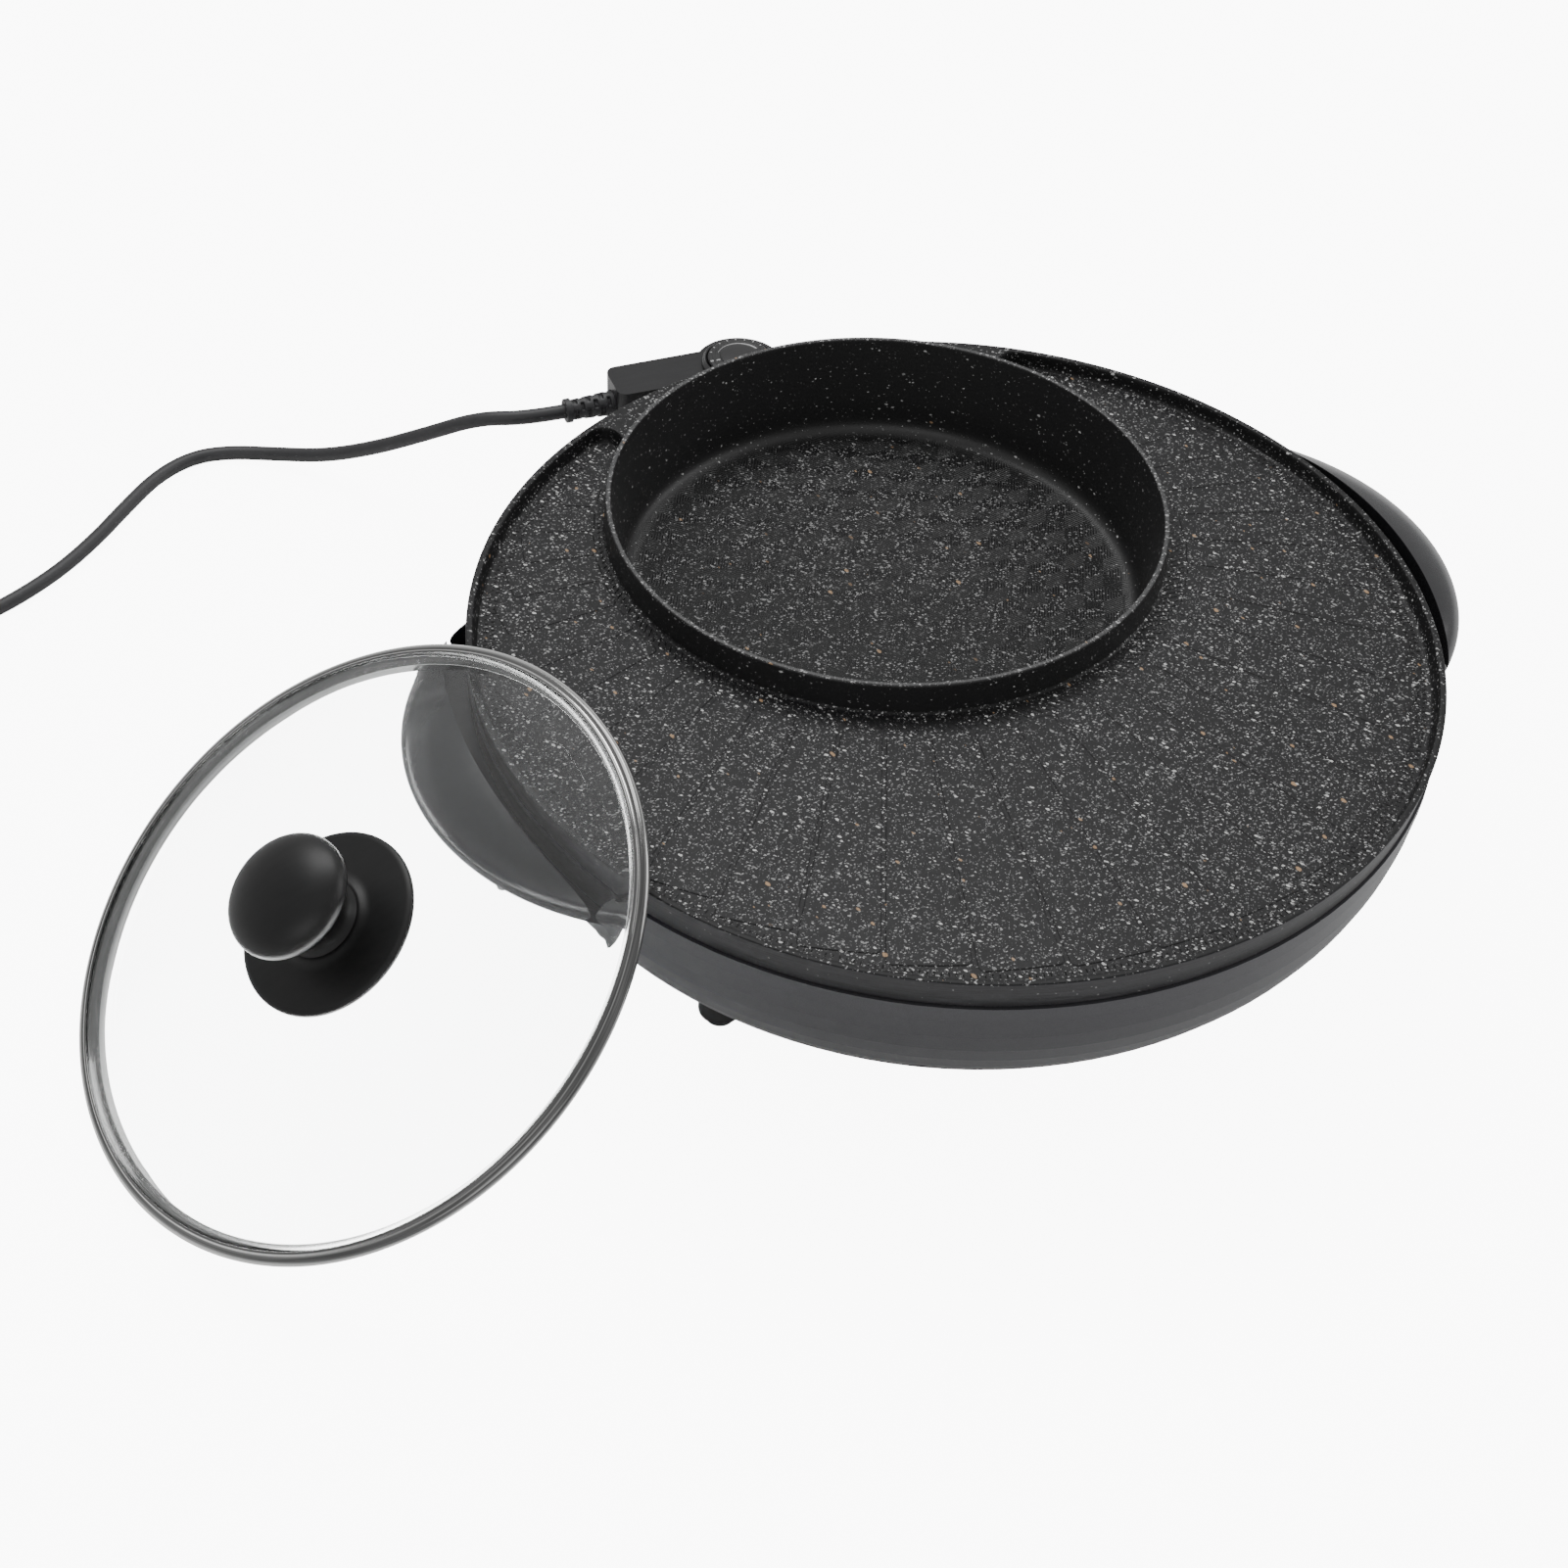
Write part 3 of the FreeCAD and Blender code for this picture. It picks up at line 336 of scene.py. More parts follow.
def make_honeycomb():
    """Honeycomb of nested hexagons: the nearer of two rectangular lattices gives the cell's centre,
    and the largest of the three distances across its flats makes rings at an even pitch. Where that
    is the level one, neighbouring cells share a lozenge."""
    tree, given, out = group("honeycomb_rings", [
        ("Place", "Vector", None), ("Cell", "Float", 17.0), ("Pitch", "Float", 1.2)],
        [("Height", "Float"), ("Lozenge", "Float")])
    cell = calc(tree, "MULTIPLY", given["Cell"], 0.001)
    step = add(tree, "CombineXYZ", cell, calc(tree, "MULTIPLY", cell, 1.7320508), 1.0).outputs[0]
    half = vec(tree, "MULTIPLY", step, (0.5, 0.5, 0.5))
    near = []
    for shift in (vec(tree, "MULTIPLY", step, (0, 0, 0)), half):
        p = vec(tree, "SUBTRACT", given["Place"], shift)
        wrapped = vec(tree, "WRAP", p, half, vec(tree, "MULTIPLY", half, (-1, -1, -1)))
        near.append(vec(tree, "MULTIPLY", wrapped, (1, 1, 0)))
    first = calc(tree, "LESS_THAN", vec(tree, "LENGTH", near[0]), vec(tree, "LENGTH", near[1]))
    chosen = add(tree, "Mix", set_data_type="VECTOR")
    feed(tree, chosen.inputs[0], first)
    feed(tree, chosen.inputs[4], near[1])
    feed(tree, chosen.inputs[5], near[0])
    p = vec(tree, "ABSOLUTE", chosen.outputs[1])
    slanting = vec(tree, "DOT_PRODUCT", p, (0.5, 0.8660254, 0.0))
    level = add(tree, "SeparateXYZ", p).outputs[0]
    across = calc(tree, "MAXIMUM", slanting, level)
    turns = calc(tree, "DIVIDE", across, calc(tree, "MULTIPLY", given["Pitch"], 0.001))
    feed(tree, out["Height"], calc(tree, "PINGPONG", turns, 0.5))
    feed(tree, out["Lozenge"], calc(tree, "GREATER_THAN", level, slanting))
    return tree


FLECKS, GRAIN, HANDLING = make_flecks(), make_grain(), make_handling()
HAIRLINES, HONEYCOMB = make_streaks(), make_honeycomb()


def finish_of(name):
    """A new material: its tree, its Principled shader and the object's own coordinates."""
    made = bpy.data.materials.new(name)
    made.use_nodes = True
    tree = made.node_tree
    shader = tree.nodes["Principled BSDF"]
    return made, tree, shader, add(tree, "TexCoord").outputs["Object"]


def bump(tree, shader, height, distance, strength=1.0):
    n = add(tree, "Bump", Strength=strength, Distance=distance, Height=height)
    tree.links.new(n.outputs[0], shader.inputs["Normal"])


def stone_coating():
    """Charcoal non-stick coating full of pale flecks, with some tan ones. The vertex value cover says
    how many flecks a place has, and the value tone how light its ground is."""
    made, tree, shader, place = finish_of("stone_coating")
    cover = add(tree, "Attribute", set_attribute_name="cover").outputs["Fac"]
    tone = add(tree, "Attribute", set_attribute_name="tone").outputs["Fac"]
    patches = spread(tree, noise(tree, place, 9.0, 2.0), 0.3, 0.7, 0.75, 1.1)
    share = calc(tree, "MULTIPLY", cover, patches)
    ground = mixed(tree, tone, (0.0085, 0.0085, 0.0088), (0.0068, 0.0068, 0.0073))
    cloud = spread(tree, noise(tree, place, 420.0, 3.0, 0.6), 0.35, 0.65)
    cloud = calc(tree, "MULTIPLY", cloud, tone)
    ground = mixed(tree, calc(tree, "MULTIPLY", cloud, 0.2), ground, (0.032, 0.032, 0.033))
    colour = ground
    for turn, cell, part, size, dull, bright in (
            (25, 0.95, 0.42, 0.36, (0.03, 0.03, 0.031), (0.14, 0.14, 0.142)),
            (-50, 1.2, 0.34, 0.34, (0.06, 0.06, 0.061), (0.42, 0.42, 0.42)),
            (80, 1.35, 0.30, 0.32, (0.09, 0.09, 0.091), (0.5, 0.5, 0.5)),
            (140, 2.3, 0.24, 0.28, (0.2, 0.2, 0.2), (0.62, 0.62, 0.61)),
            (-15, 7.8, 0.3, 0.13, (0.24, 0.14, 0.07), (0.42, 0.28, 0.17))):
        swung = add(tree, "VectorRotate", place, Center=(0.0, 0.0, 0.0), Angle=math.radians(turn))
        moved = vec(tree, "ADD", swung.outputs[0], (0.31, 0.17, 0.002 * cell))
        drawn = vec(tree, "MULTIPLY", moved, (1.5, 0.9, 1.5))
        shown = calc(tree, "MULTIPLY", share, part)
        fleck = use(tree, FLECKS, Place=drawn, Cell=cell, Cover=shown, Size=size)
        colour = mixed(tree, fleck["Mask"], colour, mixed(tree, fleck["Tone"], dull, bright))
    feed(tree, shader.inputs["Base Color"], colour)
    marks = use(tree, HANDLING, Place=place, Base=0.47, Spread=0.14)
    feed(tree, shader.inputs["Roughness"], marks["Roughness"])
    grain = use(tree, GRAIN, Place=place, Size=1.1, Depth=1.0)
    bump(tree, shader, grain["Height"], 0.00009, 0.8)
    shader.inputs["Specular IOR Level"].default_value = 0.22
    return made, tree, shader, place, grain["Height"]


def pot_floor_coating():
    """The stone coating over a honeycomb of nested hexagons pressed in the pot's floor. One lozenge of each
    cell is painted darker and made a little rougher: painted shade standing for the light on the pressed
    quilt.
    """
    made, tree, shader, place, height = stone_coating()
    made.name = "stone_coating_pot"
    shader.inputs["Specular IOR Level"].default_value = 0.6
    turned_place = add(tree, "VectorRotate", place, Center=(0.0, POT_Y * MM, 0.0), Angle=math.radians(-35))
    rings = use(tree, HONEYCOMB, Place=turned_place.outputs[0], Cell=17.0, Pitch=1.2)
    flat = add(tree, "Attribute", set_attribute_name="rings").outputs["Fac"]
    both = calc(tree, "ADD", calc(tree, "MULTIPLY", height, 0.35),
                calc(tree, "MULTIPLY", calc(tree, "MULTIPLY", rings["Height"], 2.6), flat))
    bump(tree, shader, both, 0.0003, 1.0)
    # Painted shade: the level lozenges get a darker colour, as if they faced away from the light.
    lozenge_shade = calc(tree, "MULTIPLY", calc(tree, "MULTIPLY", rings["Lozenge"], flat), 0.62)
    plain = shader.inputs["Base Color"].links[0].from_socket
    feed(tree, shader.inputs["Base Color"], mixed(tree, lozenge_shade, plain, (0.0035, 0.0035, 0.0036)))
    worn = shader.inputs["Roughness"].links[0].from_socket
    feed(tree, shader.inputs["Roughness"], calc(tree, "ADD", worn, calc(tree, "MULTIPLY", lozenge_shade, 0.12)))
    return made


def band_coating():
    """The plate's machined outer band: the same dark coating with level hairlines and few flecks."""
    made, tree, shader, place = finish_of("band_coating")
    lines = use(tree, HAIRLINES, Place=place, Pitch=0.9, Length=24.0)
    light = spread(tree, lines["Height"], 0.35, 0.68)
    ground = mixed(tree, light, (0.022, 0.022, 0.023), (0.05, 0.05, 0.053))
    fleck = use(tree, FLECKS, Place=place, Cell=1.6, Cover=0.1, Size=0.22)
    feed(tree, shader.inputs["Base Color"], mixed(tree, fleck["Mask"], ground, (0.2, 0.2, 0.2)))
    feed(tree, shader.inputs["Roughness"], spread(tree, lines["Height"], 0.3, 0.7, 0.36, 0.52))
    bump(tree, shader, lines["Height"], 0.00012, 0.8)
    shader.inputs["Specular IOR Level"].default_value = 0.35
    return made


def shell_paint():
    """Satin dark grey metallic paint: the finest flop in the colour, orange peel in the height."""
    made, tree, shader, place = finish_of("shell_paint")
    marks = use(tree, HANDLING, Place=place, Base=0.3, Spread=0.07)
    glint = spread(tree, noise(tree, place, 5200.0, 1.0), 0.42, 0.62)
    ground = mixed(tree, glint, (0.056, 0.056, 0.061), (0.078, 0.078, 0.084))
    feed(tree, shader.inputs["Base Color"], mixed(tree, calc(tree, "MULTIPLY", marks["Mask"], 0.12),
                                                  ground, (0.085, 0.085, 0.09)))
    feed(tree, shader.inputs["Roughness"], marks["Roughness"])
    shader.inputs["Metallic"].default_value = 0.35
    grain = use(tree, GRAIN, Place=place, Size=0.9, Depth=1.0)
    bump(tree, shader, grain["Height"], 0.00003, 0.5)
    return made


def moulded(name, dark, light, roughness, grain_size, grain_depth, metal=0.0, marks_spread=0.12):
    """Moulded, cast or drawn stock in one colour: soft wipe marks shift it from dark to light, with a
    grain of the given size and depth in millimetres."""
    made, tree, shader, place = finish_of(name)
    marks = use(tree, HANDLING, Place=place, Base=roughness, Spread=marks_spread)
    feed(tree, shader.inputs["Base Color"], mixed(tree, marks["Mask"], dark, light))
    feed(tree, shader.inputs["Roughness"], marks["Roughness"])
    shader.inputs["Metallic"].default_value = metal
    grain = use(tree, GRAIN, Place=place, Size=grain_size, Depth=1.0)
    bump(tree, shader, grain["Height"], grain_depth * MM, 0.8)
    return made


def drawn_steel(name, dark, light, roughness, axis_place=None, painted_edge_reflection=None):
    """Bright steel with polishing lines that run round its axis. The colour given after the axis is a painted
    reflection: the colour it turns to where the surface is seen edge on."""
    made, tree, shader, place = finish_of(name)
    if axis_place is not None:
        back = add(tree, "Mapping", place, set_vector_type="TEXTURE")
        back.inputs["Location"].default_value = axis_place[0]
        back.inputs["Rotation"].default_value = axis_place[1]
        place = back.outputs[0]
    lines = use(tree, HAIRLINES, Place=place, Pitch=0.35, Length=60.0)
    colour = mixed(tree, spread(tree, lines["Height"], 0.35, 0.65), dark, light)
    if painted_edge_reflection is not None:
        # Painted reflection: the colour goes towards the edge-on colour where the surface turns away from the
        # eye.
        painted_reflection_share = spread(tree, add(tree, "LayerWeight").outputs["Facing"], 0.22, 0.55)
        colour = mixed(tree, painted_reflection_share, colour, painted_edge_reflection)
    feed(tree, shader.inputs["Base Color"], colour)
    feed(tree, shader.inputs["Roughness"], spread(tree, lines["Height"], 0.3, 0.7, roughness - 0.05,
                                                  roughness + 0.08))
    shader.inputs["Metallic"].default_value = 1.0
    bump(tree, shader, lines["Height"], 0.00002, 0.6)
    return made


def tempered_glass():
    """Clear toughened glass, barely grey, with faint roller waves. Light that only passes through on
    its way to a shadow isn't held back."""
    made, tree, shader, place = finish_of("tempered_glass")
    smear = spread(tree, noise(tree, place, 26.0, 3.0), 0.45, 0.75, 0.0, 0.035)
    feed(tree, shader.inputs["Roughness"], smear)
    feed(tree, shader.inputs["Base Color"], mixed(tree, spread(tree, noise(tree, place, 12.0), 0.3, 0.7),
                                                  (0.93, 0.94, 0.94), (0.955, 0.96, 0.96)))
    shader.inputs["Transmission Weight"].default_value = 1.0
    shader.inputs["IOR"].default_value = 1.5
    bump(tree, shader, noise(tree, place, 9.0, 1.0), 0.0003, 0.04)
    clear = add(tree, "BsdfTransparent", (0.9, 0.91, 0.91))
    chooser = add(tree, "MixShader")
    tree.links.new(add(tree, "LightPath").outputs["Is Shadow Ray"], chooser.inputs[0])
    tree.links.new(shader.outputs[0], chooser.inputs[1])
    tree.links.new(clear.outputs[0], chooser.inputs[2])
    tree.links.new(chooser.outputs[0], tree.nodes["Material Output"].inputs[0])
    return made


lid_turn = Matrix.Rotation(LID_TILT, 4, Vector((-math.sin(LID_AZIMUTH), math.cos(LID_AZIMUTH), 0.0)))
lid_place = (tuple(c * MM for c in LID_CENTRE), tuple(lid_turn.to_euler("XYZ")))

STONE = stone_coating()[0]
STONE_POT = pot_floor_coating()
BAND = band_coating()
SHELL = shell_paint()
GLASS = tempered_glass()
# Painted reflections on the ring: its dark base colours stand for dark surroundings mirrored in the steel,
# and the near-white colour it turns to edge on stands for the bright surround.
RING = drawn_steel("ring_steel", (0.1, 0.1, 0.1), (0.22, 0.22, 0.217), 0.12, lid_place, (0.95, 0.95, 0.94))
DARK_STEEL = moulded("dark_steel", (0.035, 0.035, 0.037), (0.06, 0.06, 0.063), 0.42, 0.8, 0.03, 0.2)
FOOT = moulded("foot_plastic", (0.016, 0.016, 0.017), (0.027, 0.027, 0.028), 0.5, 0.5, 0.03)
PAD = moulded("pad_rubber", (0.012, 0.012, 0.012), (0.022, 0.022, 0.022), 0.75, 0.4, 0.04)
SCREW = moulded("screw_steel", (0.4, 0.4, 0.4), (0.6, 0.6, 0.6), 0.33, 0.3, 0.01, 1.0)
REFLECTOR = moulded("reflector_sheet", (0.6, 0.6, 0.61), (0.78, 0.78, 0.79), 0.3, 1.5, 0.02, 1.0)
HANDLE = moulded("handle_gloss", (0.016, 0.016, 0.0175), (0.022, 0.022, 0.024), 0.2, 1.2, 0.012, 0.0, 0.07)
CONTROL = moulded("control_plastic", (0.012, 0.012, 0.0125), (0.017, 0.017, 0.018), 0.34, 0.45, 0.012, 0.0,
                  0.08)
BRASS = moulded("pin_brass", (0.55, 0.4, 0.18), (0.72, 0.56, 0.28), 0.28, 0.5, 0.01, 1.0)
CERAMIC = moulded("ceramic", (0.7, 0.67, 0.6), (0.82, 0.8, 0.74), 0.6, 0.7, 0.04)
ELEMENT = moulded("heater_tube", (0.16, 0.15, 0.14), (0.36, 0.34, 0.31), 0.45, 0.6, 0.03, 0.9)
DIAL_GLOSS = moulded("dial_gloss", (0.02, 0.02, 0.021), (0.028, 0.028, 0.029), 0.16, 0.6, 0.004, 0.0, 0.05)
DIAL = moulded("dial_plastic", (0.012, 0.012, 0.0125), (0.018, 0.018, 0.019), 0.34, 0.4, 0.01, 0.0, 0.06)
CORD = moulded("cord_rubber", (0.021, 0.021, 0.023), (0.033, 0.033, 0.035), 0.5, 0.5, 0.04)
PLUG = moulded("plug_plastic", (0.018, 0.018, 0.019), (0.027, 0.027, 0.028), 0.42, 0.5, 0.03)
BLADE = moulded("plug_blade", (0.68, 0.6, 0.42), (0.8, 0.74, 0.58), 0.25, 0.5, 0.008, 1.0)
KNOB = moulded("knob_plastic", (0.005, 0.005, 0.0052), (0.009, 0.009, 0.0092), 0.4, 0.9, 0.02, 0.0, 0.06)
INK = moulded("dial_ink", (0.4, 0.4, 0.4), (0.5, 0.5, 0.5), 0.5, 0.3, 0.004)
SEAL = moulded("seal_rubber", (0.03, 0.03, 0.03), (0.05, 0.05, 0.05), 0.7, 0.4, 0.03)

for soft_gloss in (HANDLE, KNOB, CONTROL):
    soft_gloss.node_tree.nodes["Principled BSDF"].inputs["Specular IOR Level"].default_value = 0.36

SLOT_FINISH = {"stone_coat": STONE, "shell_paint": SHELL, "dark_steel": DARK_STEEL, "foot_plastic": FOOT,
               "pad_rubber": PAD, "screw_steel": SCREW, "reflector": REFLECTOR, "handle_gloss": HANDLE,
               "control_plastic": CONTROL, "brass": BRASS, "ceramic": CERAMIC, "element": ELEMENT,
               "dial_gloss": DIAL_GLOSS, "dial_plastic": DIAL, "cord_rubber": CORD,
               "plug_plastic": PLUG, "blade": BLADE, "ring_steel": RING, "clear_glass": GLASS,
               "knob_plastic": KNOB, "seal_rubber": SEAL}


def dress_frame():
    """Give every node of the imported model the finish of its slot."""
    for part in frame["record"]["subparts"]:
        node = frame["nodes"][part["node"]]
        node.data.materials.clear()
        node.data.materials.append(SLOT_FINISH[part["material_slot"]])


dress_frame()


# ---- cooking plate --------------------------------------------------------------------------
def land_distance(x, y):
    """Signed distance in plan from the edges of the land behind the pot, positive on the tray."""
    inner = np.array([LAND_NARROW, POT_Y + math.sqrt(POT_FOOT_R ** 2 - LAND_NARROW ** 2)])
    outer = np.array([LAND_HALF, math.sqrt(RIM_R ** 2 - LAND_HALF ** 2)])
    along = (outer - inner) / np.linalg.norm(outer - inner)
    away = (np.abs(x) - inner[0]) * along[1] - (y - inner[1]) * along[0]
    return np.where(y > 100, away, 60.0)


def cornered(a, b, radius):
    """Distance from the nearer of two walls, with their corner rounded to the radius."""
    curve = radius - np.hypot(np.maximum(radius - a, 0), np.maximum(radius - b, 0))
    return np.where((a < radius) & (b < radius), curve, np.minimum(a, b))


def make_tray():
    """The tray, its rim, the land and the underside as one closed sheet. Its columns are straight
    lines from the pot's circle to the plate's edge, whose angles run round at their own pace, and
    its rows lie at set distances from either end. On top the height follows the rounded distance
    from the rim and from the land."""
    edge = math.degrees(math.acos(LAND_HALF / RIM_R))
    foot = math.degrees(math.acos(LAND_NARROW / POT_FOOT_R))
    dense = np.arange(0, 16, 0.4) / RIM_R * 180 / math.pi
    start, end = 180 - edge, 360 + edge
    angle = np.concatenate([start + dense, np.linspace(start + dense[-1] + 0.7, end - dense[-1] - 0.7, 340),
                            (end - dense)[::-1], np.linspace(end + 0.15, 360 + 180 - edge - 0.15, 70)])
    pot_angle = np.interp(angle, [start, end, start + 360], [180 - foot, 360 + foot, 540 - foot])
    a, p = np.radians(angle), np.radians(pot_angle)
    pot = np.stack([POT_FOOT_R * np.cos(p), POT_Y + POT_FOOT_R * np.sin(p)], -1)
    rim = np.stack([RIM_R * np.cos(a), RIM_R * np.sin(a)], -1)
    gap = np.linalg.norm(rim - pot, axis=1)
    fit = np.minimum(1, gap / 11.0)
    near = np.array([-1.0, 0.0, 0.35, 0.8, 1.4])
    far = np.array([5.6, 4.9, 4.4, 4.1, 3.8, 3.4, 3.0, 2.85, 2.7, 2.4, 1.3, 0.5, 0.25, 0.08])
    middle = np.linspace(0, 1, 46)[1:-1, None]
    first, last = near[-1] * fit, gap - far[0] * fit
    way = np.concatenate([near[:, None] * fit, first + (last - first) * middle, gap - far[:, None] * fit])
    top = pot + (rim - pot) * (way / gap)[..., None]
    x, y = top[..., 0], top[..., 1]
    inside = RIM_R - RIM_W - np.hypot(x, y)
    behind = land_distance(x, y)
    past_pot = np.hypot(x, y - POT_Y) - POT_FOOT_R
    deep = np.minimum(cornered(inside, behind, 9.0), cornered(past_pot + 0.001, behind, 6.0)
                      + np.where(behind < 6.0, 0.0, 60.0))
    wall = [(-0.3, 0), (0, 0.15), (0.25, 0.8), (1.15, 5.0), (1.5, 6.1), (1.95, 6.65), (2.6, 6.9)]
    drop = np.interp(deep, *np.array(wall).T)
    rise = np.interp(past_pot, [0, 0.35, 0.8, 1.4], [1.1, 0.4, 0.1, 0]) * drop / 6.9
    round_edge = np.interp(np.hypot(x, y), [199.5, 199.75, 199.92], [0, 0.08, 0.3])
    z = RIM_Z - drop + rise - round_edge
    down = [(RIM_R, RIM_Z - 0.6), (RIM_R - 0.04, RIM_Z - 0.9), (BAND_LOW_R + 0.1, BAND_Z + 0.5),
            (BAND_LOW_R - 0.3, BAND_Z + 0.1), (BAND_LOW_R - 0.6, BAND_Z), (193.9, BAND_Z),
            (193.6, BAND_Z + 0.3), (193.6, PLATE_UNDER - 0.3), (193.3, PLATE_UNDER)]
    r, h = np.array(down).T
    skirt = np.stack([r[:, None] * np.cos(a), r[:, None] * np.sin(a), np.repeat(h[:, None], len(a), 1)], -1)
    back = POT_FOOT_R - 1.0
    low = np.stack([back * np.cos(p), POT_Y + back * np.sin(p), np.full(len(a), PLATE_UNDER)], -1)
    grid = np.concatenate([np.concatenate([top, z[..., None]], -1), skirt, low[None]])
    rows, cols = grid.shape[:2]
    faces = quads(rows, cols, True, True)
    on_floor = np.clip(drop / 6.9, 0, 1) ** 3
    on_rim = (drop < 0.5).astype(float)
    cover = np.concatenate([0.25 + 0.75 * on_floor + 0.3 * on_rim, np.zeros((len(down) + 1, cols)) + 0.1])
    tone = np.concatenate([0.2 + 0.8 * on_floor + 0.75 * on_rim, np.zeros((len(down) + 1, cols)) + 0.2])
    band = np.zeros((rows, cols), int)
    band[len(top) - 1:len(top) + 8] = 1
    return build("plate_tray", grid, faces, [STONE, BAND], "base", nodes=["griddle_plate"],
                 attributes=[("cover", cover), ("tone", tone)], finish_index=band.reshape(-1))


def make_pot():
    """The pot as one closed turned skin: floor, curved foot, wall, rounded rim, outside and underside."""
    inner = [(0, POT_FLOOR), (40, POT_FLOOR), (80, POT_FLOOR), (98, POT_FLOOR), (114.6, POT_FLOOR + 0.2),
             (115.0, POT_FLOOR + 16), (118.45, POT_TOP - 0.9), (118.7, POT_TOP), (POT_R - 0.3, POT_TOP),
             (POT_R + 0.05, POT_TOP - 0.9), (POT_FOOT_R, TRAY_Z), (POT_FOOT_R, PLATE_UNDER - 0.6),
             (118.4, PLATE_UNDER - 1.4), (117.9, POT_UNDER + 14), (117.0, POT_UNDER), (98, POT_UNDER),
             (0, POT_UNDER)]
    radii = [0, 0, 0, 0, 15, 4, 1, 0.8, 0.8, 1, 2, 0.8, 1, 6, 15, 0, 0]
    profile = softened(inner, radii, 8)
    points, faces = turned(profile, (0, POT_Y), 288)
    r, z = profile.T
    floor = np.interp(r, [96, 110], [1, 0]) * (z < POT_FLOOR + 12) * (z > POT_UNDER + 1)
    rim = (z > POT_TOP - 0.5).astype(float)
    around = np.ones((1, points.shape[1]))
    cover = (0.12 + 0.9 * floor + 0.9 * rim)[:, None] * around
    tone = (0.03 + 0.6 * floor + 3.5 * rim)[:, None] * around
    rings = (np.interp(r, [104, 112], [1, 0]) * (z < POT_FLOOR + 8))[:, None] * around
    return build("plate_pot", points, faces, STONE_POT, "base",
                 attributes=[("cover", cover), ("tone", tone), ("rings", rings)])


def pad_reach(angle):
    """Inner and outer radius, about the pot's axis, of the tray's raised pads at an angle: the outer
    one meets a circle just inside the plate's rim, the inner one grows with the room between."""
    outer = -POT_Y * np.sin(angle) + np.sqrt(187.0 ** 2 - (POT_Y * np.cos(angle)) ** 2)
    return 123.0 + 0.075 * (outer - POT_FOOT_R), outer


def make_pads():
    """Raised pads between radial grooves: each is a grid in (radius, angle) about the pot's axis whose
    height is a smooth step of the distance from its own rounded outline."""
    side = np.array([0, 0.25, 0.5, 0.8, 1.2, 1.7, 2.3, 3.0])
    starts = np.radians(np.arange(150.0, 390.0, 7.5))[:, None, None]
    wide = math.radians(7.5)
    u = np.concatenate([side, np.linspace(0, 1, 6)[1:-1], -side[::-1]])
    v = np.concatenate([side, [0.5], -side[::-1]])
    inner, outer = pad_reach(starts + wide / 2)
    inner, outer = inner + 0.2, outer - 0.2
    length = outer - inner
    from_end = np.array(u)[None, :, None]
    rho = np.where(from_end < 0, outer + from_end, inner + from_end)
    rows_mid = slice(len(side), len(side) + 4)
    rho = np.array(np.broadcast_to(rho, (len(starts), len(u), len(v))))
    rho[:, rows_mid] = (inner + 3.0 + (length - 6.0) * from_end[:, rows_mid])
    span = wide * rho - 1.0
    across = np.array(v)[None, None, :]
    s = np.where(across < 0, span + across, across)
    s = np.where(np.arange(len(v)) == len(side), span / 2, s)
    angle = starts + (s + 0.5) / rho
    a, b = np.minimum(rho - inner, outer - rho), np.minimum(s, span - s)
    high = 0.42 * smooth_step(cornered(a, b, 3.0) / 0.5) - 0.12
    points = np.stack([rho * np.cos(angle), POT_Y + rho * np.sin(angle), TRAY_Z + high], -1)
    one = quads(len(u), len(v))[:, ::-1]
    faces = (one[None] + (np.arange(len(starts)) * len(u) * len(v))[:, None, None]).reshape(-1, 4)
    plain = np.ones(points.shape[:3])
    return build("tray_pads", points, faces, STONE, "base", sharp=60,
                 attributes=[("cover", plain), ("tone", plain)])


def ridges(name, start, end, width, height):
    """Many small ridges at once: each is a low roof with hipped ends from its start point to its end
    point in plan."""
    along = end - start
    along /= np.linalg.norm(along, axis=1, keepdims=True)
    side = np.stack([-along[:, 1], along[:, 0]], -1) * width / 2
    low = TRAY_Z - 0.05
    inset = along * width * 0.6
    flat = [start + side, start - side, end - side, end + side, start + inset, end - inset]
    z = [low] * 4 + [TRAY_Z + height] * 2
    points = np.stack([np.c_[f, np.full(len(f), h)] for f, h in zip(flat, z)], 1)
    one = np.array([(0, 1, 4, 4), (1, 2, 5, 4), (2, 3, 5, 5), (3, 0, 4, 5)])
    faces = (one[None] + (np.arange(len(points)) * 6)[:, None, None]).reshape(-1, 4)
    plain = np.ones(points.shape[:2])
    return build(name, points, faces, STONE, "base", sharp=20,
                 attributes=[("cover", plain), ("tone", plain)])


def make_ridges():
    """Slanting ridges in the strip round the pot, and short radial dashes just inside the rim."""
    angle = np.radians(np.arange(150.0, 390.0, 1.5))
    inner, _ = pad_reach(angle)
    lean = (inner - 123.6) * 0.75 / inner
    start = np.stack([123.2 * np.cos(angle), POT_Y + 123.2 * np.sin(angle)], -1)
    end = np.stack([(inner - 0.9) * np.cos(angle + lean), POT_Y + (inner - 0.9) * np.sin(angle + lean)], -1)
    ridges("pot_strip_ridges", start, end, 0.75, 0.32)
    angle = np.radians(np.arange(126.0, 414.0, 0.8))
    away = np.stack([np.cos(angle), np.sin(angle)], -1)
    ridges("rim_dashes", away * 188.6, away * 190.6, 0.7, 0.3)
    half = np.radians(0.4)
    away = np.stack([np.cos(angle + half), np.sin(angle + half)], -1)
    ridges("rim_dashes_outer", away * 191.4, away * 193.4, 0.7, 0.3)


make_tray()
make_pot()
make_pads()
make_ridges()


